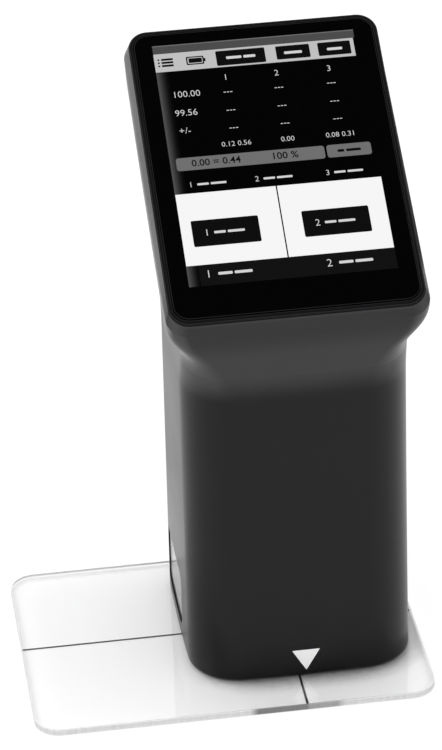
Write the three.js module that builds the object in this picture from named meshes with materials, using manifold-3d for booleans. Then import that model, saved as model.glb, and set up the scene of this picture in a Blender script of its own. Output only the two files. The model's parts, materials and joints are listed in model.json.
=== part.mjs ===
// A portable bench colorimeter standing on its clear locating plate.
// Millimetres, +Z up, +Y to the back, the display faces the user on the -Y side.
// The origin is the centre of the underside of the locating plate.
import * as THREE from "three";
import { mergeVertices } from "three/addons/utils/BufferGeometryUtils.js";
import Module from "manifold-3d";

const wasm = await Module();
wasm.setup();

// Locating plate
const plateWidth = 122;
const plateDepth = 86;
const plateThickness = 3;
const plateCorner = 8;
const plateRightMargin = 38;
const plateRearMargin = 40;
const axisRight = plateWidth / 2 - plateRightMargin;
const axisBack = plateDepth / 2 - plateRearMargin;

// Column of the moulded housing, measured from the optical axis
const columnFront = 29.6;
const columnLean = 2.6;
const columnRear = 39.3;
const columnBaseWidth = 67.3;
const columnTopWidth = 66.6;
const columnCorner = 14;
const columnBow = 1.2;
const sideBowShare = 0.67;
const baseEdgeRadius = 0.4;
const footHeight = 0.3;
const flareStart = 97;
const wall = 2.4;

// Display, and the head round it: the rim plane holds the bezel and the glass
const screenWidth = 61.3;
const screenLength = 83.1;
const screenSideMargin = 7;
const screenFrontMargin = 12.2;
const screenRearMargin = 5.6;
const rimWidth = screenWidth + 2 * screenSideMargin;
const rimLength = screenFrontMargin + screenLength + screenRearMargin;
const rimCorner = 6;
const rimFront = 29.15;
const rimHeight = 124.45;
const rimSeatDepth = 1.8;
const headTilt = THREE.MathUtils.degToRad(31.72);
const chinProud = 1.75;
const chinReach = rimFront + chinProud;
const beltProud = 1.2;
const beltWidth = rimWidth + 2 * beltProud;
const headBackProud = 4.5;

// Running and seating clearances
const gap = 0.3;
const fineGap = 0.15;
const overrun = 5;

// Bezel, glass, display panel and its carrier
const bezelThickness = 0.6;
const bezelEdge = 0.4;
const bezelSideWidth = 1.3;
const bezelFrontWidth = 1.5;
const glassThickness = 1.7;
const glassEdge = 0.4;
const glassCorner = 4.6;
const panelBorder = 1;
const panelThickness = 2.6;
const carrierSideGap = 0.45;
const carrierFloor = 1.6;
const standoffHeight = 2.4;
const standoffRadius = 2.5;
const boardThickness = 1.6;
const boardMargin = 5;
const boardEndMargin = 11.5;
const boardCorner = 2;

// Rear cover and measuring key
const splitBack = 27;
const coverTop = 94;
const tongueWidth = 40;
const tongueThickness = 2;
const tongueRise = 5;
const tongueRoot = 6;
const keyWidth = 14;
const keyHeight = 26;
const keyMiddle = 72;
const keyProud = 2.2;
const keyFlange = 1.5;
const keyFlangeThickness = 1.4;
const keyTravel = 1.2;
const stemWidth = 5;
const switchSize = 6;
const switchDepth = 3.4;
const keyBoardWidth = 44;
const keyBoardHeight = 52;
const keyBoardMiddle = 68;
const postRadius = 2.4;
const buzzerRadius = 6;
const buzzerThickness = 5;
const buzzerSide = 12;
const buzzerDrop = 18;

// Base plate, bosses, feet and screws
const basePlateThickness = 2.6;
const bossRadius = 4.2;
const bossTop = 16.8;
const screwRadius = 1.5;
const screwLength = 9;
const screwHeadRadius = 2.7;
const screwHeadHeight = 1.5;
const footRadius = 4.5;
const footSide = 16;
const footFront = 17;
const footBack = 27;

// Measuring nose and optics
const noseRadius = 7.5;
const noseStop = 2.7;
const apertureRadius = 4;
const apertureLip = 1.2;
const noseBore = 5.6;
const noseFlangeRadius = 12;
const noseFlangeThickness = 1.5;
const plateHoleClearance = 0.8;
const portGlassThickness = 1;
const sphereRadius = 17;
const sphereWall = 2;
const spherePort = 5;
const sphereHeight = 21.5;
const sphereFlange = 3;
const sphereFlangeThickness = 1.9;
const lampTilt = THREE.MathUtils.degToRad(8);
const lampCollarRadius = 8;
const lampCollarHeight = 5;
const barrelRadius = 5.5;
const barrelBore = 3.8;
const barrelLength = 19;
const lampSeat = 2;
const lampBoardRadius = 8;
const lensThickness = 1.6;
const lensSetShare = 0.4;
const eyeRadius = 6;
const eyeBore = 4;
const eyeRise = 6;
const eyeReach = 20;
const sensorBoardWidth = 20;
const sensorBoardHeight = 13;
const sensorSize = 5;
const sensorThickness = 1;
const bracketThickness = 2;

// Battery
const batteryWidth = 36;
const batteryThickness = 11;
const batteryHeight = 56;
const batteryBottom = 40;
const holderWall = 1.5;
const holderHeight = 30;

// Port bay, its hinged cover and what is behind it
const coverFront = -4.6;
const coverBack = 24.5;
const coverBottom = 4.6;
const coverHeight = 18.3;
const coverCorner = 3.5;
const coverHingeCorner = 4;
const bayHingeCorner = 0.8;
const coverThickness = 2.8;
const coverSink = 0.4;
const hingePinRadius = 0.6;
const pinEngage = 1.4;
const bayWall = 1.2;
const bayDepth = 5;
const ioBoardGap = 6;
const ioBoardHeight = 13;
const usbWidth = 7.7;
const usbHeight = 3.9;
const usbWall = 0.5;
const usbAlong = 7;
const usbUp = 10;
const jackSize = 7;
const jackBore = 1.9;
const jackAlong = 17.5;
const jackUp = 9.8;
const knobWidth = 4;
const knobHeight = 2.6;
const knobProud = 1.5;
const knobTravel = 3;
const knobUp = 16;
const knobAlong = 5.5;
const resetRadius = 1.3;
const resetProud = 0.8;
const resetTravel = 0.6;
const resetUp = 16.4;

// Faces used by round stretches
const cornerSteps = 8;
const sideSteps = 4;
const roundSteps = 24;
const pinSteps = 12;
const domeSteps = 5;
const smallSteps = 4;

// Shares of the flare that each ring of the head has reached, bottom to top:
// rise of its front, reach of its front, rise of its rear, reach of its rear, widening
const flareShares = [
  [0.226, 0.02, 0.249, 0.186, 0.003],
  [0.291, 0.085, 0.358, 0.276, 0.012],
  [0.364, 0.2, 0.457, 0.363, 0.055],
  [0.437, 0.314, 0.549, 0.446, 0.158],
  [0.51, 0.43, 0.632, 0.526, 0.335],
  [0.583, 0.543, 0.707, 0.602, 0.561],
  [0.656, 0.657, 0.777, 0.674, 0.779],
  [0.729, 0.77, 0.838, 0.744, 0.92],
  [0.801, 0.886, 0.878, 0.821, 0.97],
  [0.893, 1, 0.936, 1, 0.971],
];
const cornerFade = 1.22;

// Places worked out from the sizes above
const rimRear = rimLength * Math.cos(headTilt) - rimFront;
const rimRise = rimLength * Math.sin(headTilt);
const headReach = rimRear + headBackProud;
const rimMiddleBack = (rimRear - rimFront) / 2;
const rimMiddleHeight = rimHeight + rimRise / 2;
const basePlateTop = footHeight + basePlateThickness;
const bossInset = screwHeadRadius + 3 * gap;
const innerRear = columnRear - wall;
const pivotRadius = coverThickness / 2;

// Materials
const colours = {
  clear: [0xe8ecec, 0.1, 0],
  housing: [0x2e2e30, 0.55, 0],
  trim: [0x1b1b1d, 0.35, 0],
  glass: [0x050506, 0.08, 0],
  cover: [0x8c8c8e, 0.55, 0],
  key: [0x5a5a5e, 0.45, 0],
  board: [0x1f5a34, 0.5, 0],
  metal: [0xb5b6b8, 0.35, 0.9],
  white: [0xf1f1ee, 0.7, 0],
  black: [0x141416, 0.6, 0],
  rubber: [0x161616, 0.85, 0],
  battery: [0x2c5d9c, 0.45, 0],
};

const part = new THREE.Group();
const instrument = new THREE.Group();
instrument.position.set(axisRight, axisBack, plateThickness);
const head = new THREE.Group();
head.position.set(0, rimMiddleBack, rimMiddleHeight);
head.rotation.x = headTilt;
part.add(instrument);
instrument.add(head);

// Closed geometry to a solid for cutting and joining
function solidOf(geometry) {
  const bare = geometry.clone();
  bare.deleteAttribute("normal");
  bare.deleteAttribute("uv");
  const merged = mergeVertices(bare, 1e-4);
  return new wasm.Manifold(new wasm.Mesh({
    numProp: 3,
    vertProperties: Float32Array.from(merged.attributes.position.array),
    triVerts: Uint32Array.from(merged.index.array),
  }));
}

// Solid back to a geometry
function geometryOf(solid) {
  const mesh = solid.getMesh();
  const geometry = new THREE.BufferGeometry();
  geometry.setAttribute("position", new THREE.BufferAttribute(mesh.vertProperties, 3));
  geometry.setIndex(new THREE.BufferAttribute(mesh.triVerts, 1));
  return geometry;
}

// A named piece: a geometry or a solid, in a group, with its own material
function piece(name, shape, colour, group = instrument, place = [0, 0, 0], turn = [0, 0, 0]) {
  const [color, roughness, metalness] = colours[colour];
  const material = new THREE.MeshStandardMaterial({ color, roughness, metalness });
  const geometry = shape.isBufferGeometry ? shape : geometryOf(shape);
  const mesh = new THREE.Mesh(geometry, material);
  mesh.name = name;
  mesh.position.set(...place);
  mesh.rotation.set(...turn);
  group.add(mesh);
}

// Box between two corners
function box(low, high) {
  const size = low.map((value, i) => high[i] - value);
  const geometry = new THREE.BoxGeometry(...size);
  geometry.translate(...low.map((value, i) => value + size[i] / 2));
  return solidOf(geometry);
}

// Rounded rectangle with its low corner at x, y; its high x side can have another radius
function roundedRect(x, y, width, height, radius, farRadius = radius) {
  const shape = new THREE.Shape();
  const quarter = Math.PI / 2;
  shape.absarc(x + width - farRadius, y + farRadius, farRadius, -quarter, 0);
  shape.absarc(x + width - farRadius, y + height - farRadius, farRadius, 0, quarter);
  shape.absarc(x + radius, y + height - radius, radius, quarter, 2 * quarter);
  shape.absarc(x + radius, y + radius, radius, 2 * quarter, 3 * quarter);
  return shape;
}

// Upright prism over a shape, from one height to another
function prism(shape, low, high, steps = cornerSteps) {
  const geometry = new THREE.ExtrudeGeometry(shape, {
    depth: high - low,
    bevelEnabled: false,
    curveSegments: steps,
  });
  geometry.translate(0, 0, low);
  return solidOf(geometry);
}

// The same prism laid so that the shape's x, y become y, z and it runs along x
function prismAlongX(shape, low, high, steps) {
  const turn = new THREE.Matrix4().makeBasis(
    new THREE.Vector3(0, 1, 0), new THREE.Vector3(0, 0, 1), new THREE.Vector3(1, 0, 0));
  return solidOf(geometryOf(prism(shape, low, high, steps)).applyMatrix4(turn));
}

// The same prism laid so that the shape's x, y become x, z and it runs along y
function prismAlongY(shape, low, high, steps) {
  const turn = new THREE.Matrix4().makeBasis(
    new THREE.Vector3(1, 0, 0), new THREE.Vector3(0, 0, 1), new THREE.Vector3(0, -1, 0));
  return solidOf(geometryOf(prism(shape, -high, -low, steps)).applyMatrix4(turn));
}

// Cylinder along x, y or z through a centre, from low to high along its axis
function rod(axis, radius, centre, low, high, steps = roundSteps) {
  const geometry = new THREE.CylinderGeometry(radius, radius, high - low, steps);
  geometry.translate(0, (high + low) / 2, 0);
  if (axis === "x") geometry.rotateZ(-Math.PI / 2);
  if (axis === "z") geometry.rotateX(Math.PI / 2);
  const [a, b] = centre;
  if (axis === "x") geometry.translate(0, a, b);
  if (axis === "y") geometry.translate(a, 0, b);
  if (axis === "z") geometry.translate(a, b, 0);
  return solidOf(geometry);
}

// Revolved profile of [radius, height] points about z, closed on itself
function turned(profile, steps = roundSteps) {
  const points = [...profile, profile[0]].map(([r, z]) => new THREE.Vector2(r, z));
  const geometry = new THREE.LatheGeometry(points, steps);
  geometry.rotateX(Math.PI / 2);
  return solidOf(geometry);
}

// Points of an arc of a profile, radius and height from a centre height
function profileArc(radius, height, from, to, steps) {
  return Array.from({ length: steps + 1 }, (_, i) => {
    const angle = from + ((to - from) * i) / steps;
    return [radius * Math.cos(angle), height + radius * Math.sin(angle)];
  });
}

// Closed ring of a rounded, slightly crowned rectangle. It spans the line from its front
// point to its rear point, both [back, up], and stands square to the x axis.
function ring({ front, rear, halfWidth, radius, bow }) {
  const [dy, dz] = [rear[0] - front[0], rear[1] - front[1]];
  const length = Math.hypot(dy, dz);
  const half = length / 2;
  const flat = [];
  const corners = [[1, 1], [-1, 1], [-1, -1], [1, -1]];
  corners.forEach(([sx, sy], quarter) => {
    for (let i = 0; i <= cornerSteps; i += 1) {
      const angle = (quarter + i / cornerSteps) * (Math.PI / 2);
      flat.push([
        sx * (halfWidth - radius) + radius * Math.cos(angle),
        sy * (half - radius) + radius * Math.sin(angle),
      ]);
    }
    const [x, y] = flat[flat.length - 1];
    const [nx, ny] = [quarter % 2 ? x : -x, quarter % 2 ? -y : y];
    for (let i = 1; i < sideSteps; i += 1) {
      const share = i / sideSteps;
      flat.push([x + (nx - x) * share, y + (ny - y) * share]);
    }
  });
  return flat.map(([x, v]) => {
    const across = 1 - (x / halfWidth) ** 2;
    const along = 1 - (v / half) ** 2;
    const outX = x + bow * sideBowShare * (x / halfWidth) * along;
    const outV = v + bow * (v / half) * across;
    return [
      outX,
      (front[0] + rear[0]) / 2 + (outV * dy) / length,
      (front[1] + rear[1]) / 2 + (outV * dz) / length,
    ];
  });
}

// Solid skinned over rings of equal point counts, bottom to top, with flat ends
function loft(rings) {
  const count = rings[0].length;
  const index = [];
  for (let r = 0; r + 1 < rings.length; r += 1) {
    for (let i = 0; i < count; i += 1) {
      const j = (i + 1) % count;
      const [a, b, c, d] = [r * count + i, r * count + j, (r + 1) * count + j, (r + 1) * count + i];
      index.push(a, b, c, a, c, d);
    }
  }
  const last = (rings.length - 1) * count;
  for (let i = 1; i + 1 < count; i += 1) {
    index.push(0, i + 1, i, last, last + i, last + i + 1);
  }
  const geometry = new THREE.BufferGeometry();
  geometry.setAttribute("position", new THREE.Float32BufferAttribute(rings.flat(2), 3));
  geometry.setIndex(index);
  return solidOf(geometry);
}

// Point on the head's rim plane: distance along the slope from its front edge, and height over it
function onRim(along, above) {
  return [
    -rimFront + along * Math.cos(headTilt) - above * Math.sin(headTilt),
    rimHeight + along * Math.sin(headTilt) + above * Math.cos(headTilt),
  ];
}

// Sections of the housing's outer form, bottom to top
function housingSections() {
  const sections = [];
  const baseHalf = columnBaseWidth / 2;
  const topHalf = columnTopWidth / 2;
  const rise = flareStart - footHeight;
  const edge = baseEdgeRadius;
  const column = (height, inset) => {
    const share = (height - footHeight) / rise;
    const lean = columnLean * (1 - (1 - share) ** 2);
    sections.push({
      front: [-columnFront + lean + inset, height],
      rear: [columnRear - inset, height],
      halfWidth: baseHalf + (topHalf - baseHalf) * share - inset,
      radius: columnCorner - inset,
      bow: columnBow,
    });
  };
  column(footHeight, edge);
  column(footHeight + edge * (1 - Math.SQRT1_2), edge * (1 - Math.SQRT1_2));
  column(footHeight + edge, 0);
  [0.2, 0.45, 0.7, 1].forEach((share) => column(footHeight + rise * share, 0));
  const topFront = -columnFront + columnLean;
  const chin = -chinReach - topFront;
  flareShares.forEach(([frontRise, frontOut, rearRise, rearOut, widen]) => {
    const turn = 1 - frontRise;
    sections.push({
      front: [topFront + chin * frontOut, flareStart + (rimHeight - flareStart) * frontRise],
      rear: [
        columnRear + (headReach - columnRear) * rearOut,
        flareStart + (rimHeight + rimRise - flareStart) * rearRise,
      ],
      halfWidth: topHalf + (beltWidth / 2 - topHalf) * widen,
      radius: rimCorner + (columnCorner - rimCorner) * turn ** cornerFade,
      bow: columnBow * turn,
    });
  });
  const lip = bezelThickness + fineGap;
  sections.push({
    front: onRim(-lip, -lip),
    rear: onRim(rimLength, -lip),
    halfWidth: rimWidth / 2,
    radius: rimCorner,
    bow: 0,
  });
  return sections;
}

// The same section drawn in by a wall, and pushed along its own normal
function inset(section, by, along = 0) {
  const [dy, dz] = [section.rear[0] - section.front[0], section.rear[1] - section.front[1]];
  const length = Math.hypot(dy, dz);
  const [cy, cz] = [dy / length, dz / length];
  return {
    ...section,
    front: [section.front[0] + by * cy - along * cz, section.front[1] + by * cz + along * cy],
    rear: [section.rear[0] - by * cy - along * cz, section.rear[1] - by * cz + along * cy],
    halfWidth: section.halfWidth - by,
    radius: section.radius - by,
  };
}

// A level section moved to another height
function levelled(section, height) {
  return { ...section, front: [section.front[0], height], rear: [section.rear[0], height] };
}

// Hollow form of the whole housing, open at the bottom and at the rim
const sections = housingSections();
const outerForm = loft(sections.map(ring));
function cavityForm(by) {
  const straight = sections.slice(2);
  const first = inset(straight[0], by, -overrun);
  const last = inset(straight[straight.length - 1], by, overrun);
  return loft([first, ...straight.map((section) => inset(section, by)), last].map(ring));
}
const shell = outerForm.subtract(cavityForm(wall));

// Centres of the four bosses that the base screws enter
function bossPlaces() {
  const reach = (columnCorner - wall - bossInset) * Math.SQRT1_2;
  const side = columnBaseWidth / 2 - columnCorner + reach;
  return {
    front: [[-side, -columnFront + columnCorner - reach], [side, -columnFront + columnCorner - reach]],
    rear: [[-side, columnRear - columnCorner + reach], [side, columnRear - columnCorner + reach]],
  };
}
const bosses = bossPlaces();

// Boss on the inside of a corner, with its screw hole
function withBosses(solid, places) {
  let result = solid;
  places.forEach((place) => {
    const body = rod("z", bossRadius, place, basePlateTop + gap, bossTop, pinSteps);
    const end = footHeight + screwHeadHeight + screwLength + 2 * gap;
    const hole = rod("z", screwRadius + fineGap, place, basePlateTop, end, pinSteps);
    result = result.add(body.intersect(outerForm)).subtract(hole);
  });
  return result;
}

// Side face of the column at the port cover, and the planes behind it
const coverRiseShare = (coverBottom + coverHeight / 2) / flareStart;
const sideFace = (columnBaseWidth + (columnTopWidth - columnBaseWidth) * coverRiseShare) / 2
  + columnBow * sideBowShare;
const coverFace = -sideFace + coverSink;
const coverInner = coverFace + coverThickness;
const pivot = [coverFace + pivotRadius, coverBack - pivotRadius];
const bayFront = coverInner;
const bayFloor = bayFront + bayDepth;
const ioBoardFront = bayFloor + ioBoardGap;

// A solid drawn in the head's own frame, turned and moved into the instrument's
function inHead(solid) {
  const geometry = geometryOf(solid).rotateX(headTilt);
  return solidOf(geometry.translate(0, rimMiddleBack, rimMiddleHeight));
}

// Outline of the port cover in the y, z plane, grown by a clearance. The opening round it
// has tight corners on its hinge side, so that the cover's rounder ones can swing past them.
function coverOutline(grow, hingeCorner) {
  return roundedRect(coverFront - grow, coverBottom - grow, coverBack - coverFront + 2 * grow,
    coverHeight + 2 * grow, coverCorner + grow, hingeCorner);
}

// Moulded housing: column front and sides, and the whole head, in one piece
function mainHousing() {
  const rearOpening = box(
    [-columnBaseWidth, splitBack - fineGap, footHeight - overrun],
    [columnBaseWidth, headReach + overrun, coverTop + fineGap]);
  const bayOpening = prismAlongX(coverOutline(gap, bayHingeCorner), -columnBaseWidth,
    coverInner + overrun / 2, smallSteps);
  const pinHole = rod("z", hingePinRadius + fineGap, pivot,
    coverBottom - pinEngage - 2 * gap, coverBottom + coverHeight + pinEngage + 2 * gap, pinSteps);
  let solid = shell.subtract(rearOpening);
  solid = withBosses(solid, bosses.front);
  const glassSeat = inHead(prism(glassOutline(gap), -rimSeatDepth, overrun));
  return solid.subtract(bayOpening).subtract(pinHole).subtract(glassSeat);
}

// Cover of the column's rear, hooked behind the housing at its top
function rearCover() {
  const region = box(
    [-columnBaseWidth, splitBack + fineGap, footHeight - overrun],
    [columnBaseWidth, headReach, coverTop - fineGap]);
  const hook = box(
    [-tongueWidth / 2, innerRear - gap - tongueThickness, coverTop - tongueRoot],
    [tongueWidth / 2, innerRear - gap, coverTop + tongueRise]);
  const root = box(
    [-tongueWidth / 2, innerRear - gap - tongueThickness, coverTop - tongueRoot],
    [tongueWidth / 2, innerRear + wall / 2, coverTop - gap]);
  let solid = shell.intersect(region).add(hook).add(root);
  solid = withBosses(solid, bosses.rear);
  postPlaces().forEach((place) => {
    solid = solid.add(rod("y", postRadius, place, keyBoardBack + gap, innerRear + wall / 2, pinSteps));
  });
  const opening = prismAlongY(keyOutline(gap), innerRear - overrun / 2, headReach, smallSteps);
  return solid.subtract(opening);
}

// Measuring key on the column's rear: cap, flange behind the wall and stem
const keyFlangeBack = innerRear - gap;
const keyFlangeFront = keyFlangeBack - keyFlangeThickness;
const stemEnd = keyFlangeFront - gap;
const switchBack = stemEnd - keyTravel - gap;
const keyBoardBack = switchBack - switchDepth - gap;
function keyOutline(grow) {
  const radius = keyWidth / 2 + grow;
  return roundedRect(-radius, keyMiddle - keyHeight / 2 - grow, 2 * radius, keyHeight + 2 * grow, radius);
}
function postPlaces() {
  const side = keyBoardWidth / 2 - 2 * postRadius;
  const rise = keyBoardHeight / 2 - 2 * postRadius;
  return [[-side, keyBoardMiddle - rise], [side, keyBoardMiddle - rise],
    [-side, keyBoardMiddle + rise], [side, keyBoardMiddle + rise]];
}
function measuringKey() {
  const crown = columnRear + columnBow;
  const cap = prismAlongY(keyOutline(0), keyFlangeFront, crown + keyProud / 2, smallSteps);
  const top = prismAlongY(keyOutline(-keyProud / 2), keyFlangeFront, crown + keyProud, smallSteps);
  const flange = prismAlongY(keyOutline(keyFlange), keyFlangeFront, keyFlangeBack, smallSteps);
  const stem = box([-stemWidth / 2, stemEnd, keyMiddle - stemWidth / 2],
    [stemWidth / 2, keyFlangeFront + gap, keyMiddle + stemWidth / 2]);
  return cap.add(top).add(flange).add(stem);
}
function keyParts() {
  piece("measuring_key", measuringKey(), "key");
  const half = switchSize / 2;
  piece("key_switch", box([-half, switchBack - switchDepth, keyMiddle - half],
    [half, switchBack, keyMiddle + half]), "black");
  const low = keyBoardMiddle - keyBoardHeight / 2;
  const board = roundedRect(-keyBoardWidth / 2, low, keyBoardWidth, keyBoardHeight, boardCorner);
  const front = keyBoardBack - boardThickness;
  piece("key_board", prismAlongY(board, front, keyBoardBack, smallSteps), "board");
  piece("buzzer", rod("y", buzzerRadius, [buzzerSide, keyBoardMiddle - buzzerDrop],
    front - gap - buzzerThickness, front - gap), "black");
}

// Base plate with the nose hole and counterbored screw holes
function basePlate() {
  const section = inset(sections[2], wall + gap);
  let solid = loft([ring(levelled(section, footHeight)), ring(levelled(section, basePlateTop))]);
  solid = solid.subtract(rod("z", noseRadius + gap, [0, 0], footHeight - overrun, basePlateTop + overrun));
  [...bosses.front, ...bosses.rear].forEach((place) => {
    const shank = rod("z", screwRadius + fineGap, place, footHeight - overrun,
      basePlateTop + overrun, pinSteps);
    const seat = rod("z", screwHeadRadius + gap, place, footHeight - overrun,
      footHeight + screwHeadHeight + fineGap, pinSteps);
    solid = solid.subtract(shank).subtract(seat);
  });
  return solid;
}
function baseParts() {
  piece("base_plate", basePlate(), "black");
  [...bosses.front, ...bosses.rear].forEach(([x, y], i) => {
    const top = screwHeadHeight;
    const screw = turned([[0, 0], [screwHeadRadius, 0], [screwHeadRadius, top], [screwRadius, top],
      [screwRadius, top + screwLength], [0, top + screwLength]], pinSteps);
    piece(`base_screw_${i + 1}`, screw, "metal", instrument, [x, y, footHeight]);
  });
  const feet = [[-footSide, -footFront], [footSide, -footFront],
    [-footSide, footBack], [footSide, footBack]];
  feet.forEach((place, i) => {
    piece(`foot_${i + 1}`, rod("z", footRadius, place, 0, footHeight), "rubber");
  });
}

// Measuring nose, its dust glass and the integrating sphere in two halves
const flangeBottom = basePlateTop + gap;
const flangeTop = flangeBottom + noseFlangeThickness;
const sphereBottom = flangeTop + gap;
function opticsParts() {
  const end = -noseStop;
  piece("measuring_nose", turned([[apertureRadius, end], [noseRadius, end], [noseRadius, flangeBottom],
    [noseFlangeRadius, flangeBottom], [noseFlangeRadius, flangeTop], [noseBore, flangeTop],
    [noseBore, end + apertureLip], [apertureRadius, end + apertureLip]]), "black");
  const seat = end + apertureLip + gap;
  piece("port_glass", rod("z", noseBore - gap, [0, 0], seat, seat + portGlassThickness), "clear");

  const lower = sphereHalf();
  piece("sphere_lower", lower, "white");
  piece("sphere_upper", sphereUpper(), "white");
  lampParts();
  sensorParts();
  piece("optics_bracket", opticsBracket(), "black");
}

// Lower half of the sphere, flat where it stands on the nose flange
function sphereHalf() {
  const split = sphereHeight - fineGap;
  const flatAngle = -Math.asin((sphereHeight - sphereBottom) / sphereRadius);
  const flangeAngle = -Math.asin((sphereFlangeThickness + fineGap) / sphereRadius);
  const inner = sphereRadius - sphereWall;
  const portAngle = -Math.acos(spherePort / inner);
  const splitAngle = -Math.asin(fineGap / sphereRadius);
  return turned([
    [spherePort, sphereBottom],
    ...profileArc(sphereRadius, sphereHeight, flatAngle, flangeAngle, domeSteps),
    [sphereRadius + sphereFlange, split - sphereFlangeThickness],
    [sphereRadius + sphereFlange, split],
    ...profileArc(inner, sphereHeight, splitAngle, portAngle, domeSteps),
  ]);
}

// Direction frame of the lamp, tilted back from the optical axis about the sample
function tilted(geometry) {
  return solidOf(geometryOf(geometry).rotateX(-lampTilt));
}
const lampSeatHeight = sphereHeight + sphereRadius;

// Upper half of the sphere with the lamp collar and the eye of the sensor
function sphereUpper() {
  const split = sphereHeight + fineGap;
  const inner = sphereRadius - sphereWall;
  const flangeAngle = Math.asin((sphereFlangeThickness + fineGap) / sphereRadius);
  const innerAngle = Math.asin(fineGap / inner);
  const dome = turned([
    [sphereRadius + sphereFlange, split],
    [sphereRadius + sphereFlange, split + sphereFlangeThickness],
    ...profileArc(sphereRadius, sphereHeight, flangeAngle, Math.PI / 2, domeSteps),
    ...profileArc(inner, sphereHeight, Math.PI / 2, innerAngle, domeSteps),
  ]);
  const dip = profileArc(inner, sphereHeight, innerAngle, Math.PI / 2, domeSteps);
  const hollow = turned([[0, split], ...dip]);
  const collarTop = lampSeatHeight + lampCollarHeight;
  const collar = tilted(rod("z", lampCollarRadius, [0, 0], lampSeatHeight - overrun, collarTop));
  const bore = tilted(rod("z", barrelBore, [0, 0], sphereHeight, collarTop + overrun));
  const seat = tilted(rod("z", barrelRadius + gap, [0, 0], lampSeatHeight + lampSeat, collarTop + overrun));
  const eyeAt = [0, sphereHeight + eyeRise];
  const eye = rod("y", eyeRadius - gap, eyeAt, sphereRadius / 2, eyeReach);
  const eyeHole = rod("y", eyeBore, eyeAt, 0, eyeReach + overrun);
  const flangeCut = box([-sphereRadius, 0, 0], [sphereRadius, eyeReach + overrun, split]);
  const body = dome.add(collar).add(eye.subtract(flangeCut));
  return body.subtract(hollow).subtract(bore).subtract(seat).subtract(eyeHole);
}

// Lamp barrel with its lens and lamp board, on the 8 degree axis
function lampParts() {
  const low = lampSeatHeight + lampSeat + gap;
  const high = low + barrelLength;
  const turn = [-lampTilt, 0, 0];
  const barrel = turned([[barrelBore, low], [barrelRadius, low], [barrelRadius, high], [barrelBore, high]]);
  piece("lamp_barrel", barrel, "black", instrument, [0, 0, 0], turn);
  const lens = low + barrelLength * lensSetShare;
  piece("lamp_lens", rod("z", barrelBore - gap, [0, 0], lens, lens + lensThickness), "clear",
    instrument, [0, 0, 0], turn);
  piece("lamp_board", rod("z", lampBoardRadius, [0, 0], high + gap, high + gap + boardThickness), "board",
    instrument, [0, 0, 0], turn);
}

// Sensor and its board behind the sphere
function sensorParts() {
  const half = sensorBoardWidth / 2;
  const low = sphereHeight + eyeRise - sensorBoardHeight / 2;
  const front = eyeReach + gap;
  piece("sensor_board", box([-half, front, low + gap],
    [half, front + boardThickness, low + sensorBoardHeight]), "board");
  const side = sensorSize / 2;
  const middle = sphereHeight + eyeRise;
  piece("photo_sensor", box([-side, front - gap - sensorThickness, middle - side],
    [side, front - gap, middle + side]), "black");
}

// Bracket under the sphere's flange, resting on the bosses, cut away behind the port bay
function opticsBracket() {
  const top = sphereHeight - fineGap - sphereFlangeThickness - gap;
  const section = inset(sections[3], wall + gap + fineGap);
  const at = (height) => ring(levelled(section, height));
  const body = loft([at(top - bracketThickness), at(top)]);
  const hole = rod("z", sphereRadius + gap, [0, 0], 0, sphereHeight, 2 * roundSteps);
  const bay = box([-columnBaseWidth, coverFront - 2 * bayWall - gap, 0],
    [ioBoardFront + boardThickness + gap, coverBack + 2 * bayWall + gap, sphereHeight]);
  return body.subtract(hole).subtract(bay);
}

// Battery in a holder against the column's front wall
function batteryParts() {
  const front = -columnFront + columnLean - columnBow / 2 + wall + gap;
  const half = batteryWidth / 2;
  const pack = roundedRect(-half, batteryBottom, batteryWidth, batteryHeight, batteryThickness / 4);
  piece("battery_pack", prismAlongY(pack, front, front + batteryThickness, smallSteps), "battery");
  const out = half + gap + holderWall;
  const back = front + batteryThickness + gap;
  const body = box([-out, front, batteryBottom - gap - holderWall],
    [out, back + holderWall, batteryBottom + holderHeight]);
  const room = box([-half - gap, front - overrun, batteryBottom - gap],
    [half + gap, back, batteryBottom + holderHeight + overrun]);
  const window = box([-half + overrun, front, batteryBottom + overrun],
    [half - overrun, back + overrun, batteryBottom + holderHeight - overrun]);
  piece("battery_holder", body.subtract(room).subtract(window), "black");
}

// Port bay: a moulded tray behind the side opening, with cut-outs in its floor
function portBay() {
  const outline = coverOutline(gap + bayWall, bayHingeCorner + bayWall);
  const tray = prismAlongX(outline, bayFront, bayFloor + bayWall, smallSteps);
  const room = prismAlongX(coverOutline(gap, bayHingeCorner), bayFront - overrun, bayFloor, smallSteps);
  const usb = box([bayFront, usbAlong - usbWidth / 2 - gap, usbUp - usbHeight / 2 - gap],
    [0, usbAlong + usbWidth / 2 + gap, usbUp + usbHeight / 2 + gap]);
  const jack = box([bayFront, jackAlong - jackSize / 2 - gap, jackUp - jackSize / 2 - gap],
    [0, jackAlong + jackSize / 2 + gap, jackUp + jackSize / 2 + gap]);
  const slot = box([bayFront, knobAlong - knobWidth / 2 - gap, knobUp - knobHeight / 2 - gap],
    [0, knobAlong + knobWidth / 2 + knobTravel + gap, knobUp + knobHeight / 2 + gap]);
  const reset = rod("x", resetRadius + fineGap, [jackAlong, resetUp], bayFront, 0, pinSteps);
  return tray.subtract(room).subtract(usb).subtract(jack).subtract(slot).subtract(reset);
}

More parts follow.
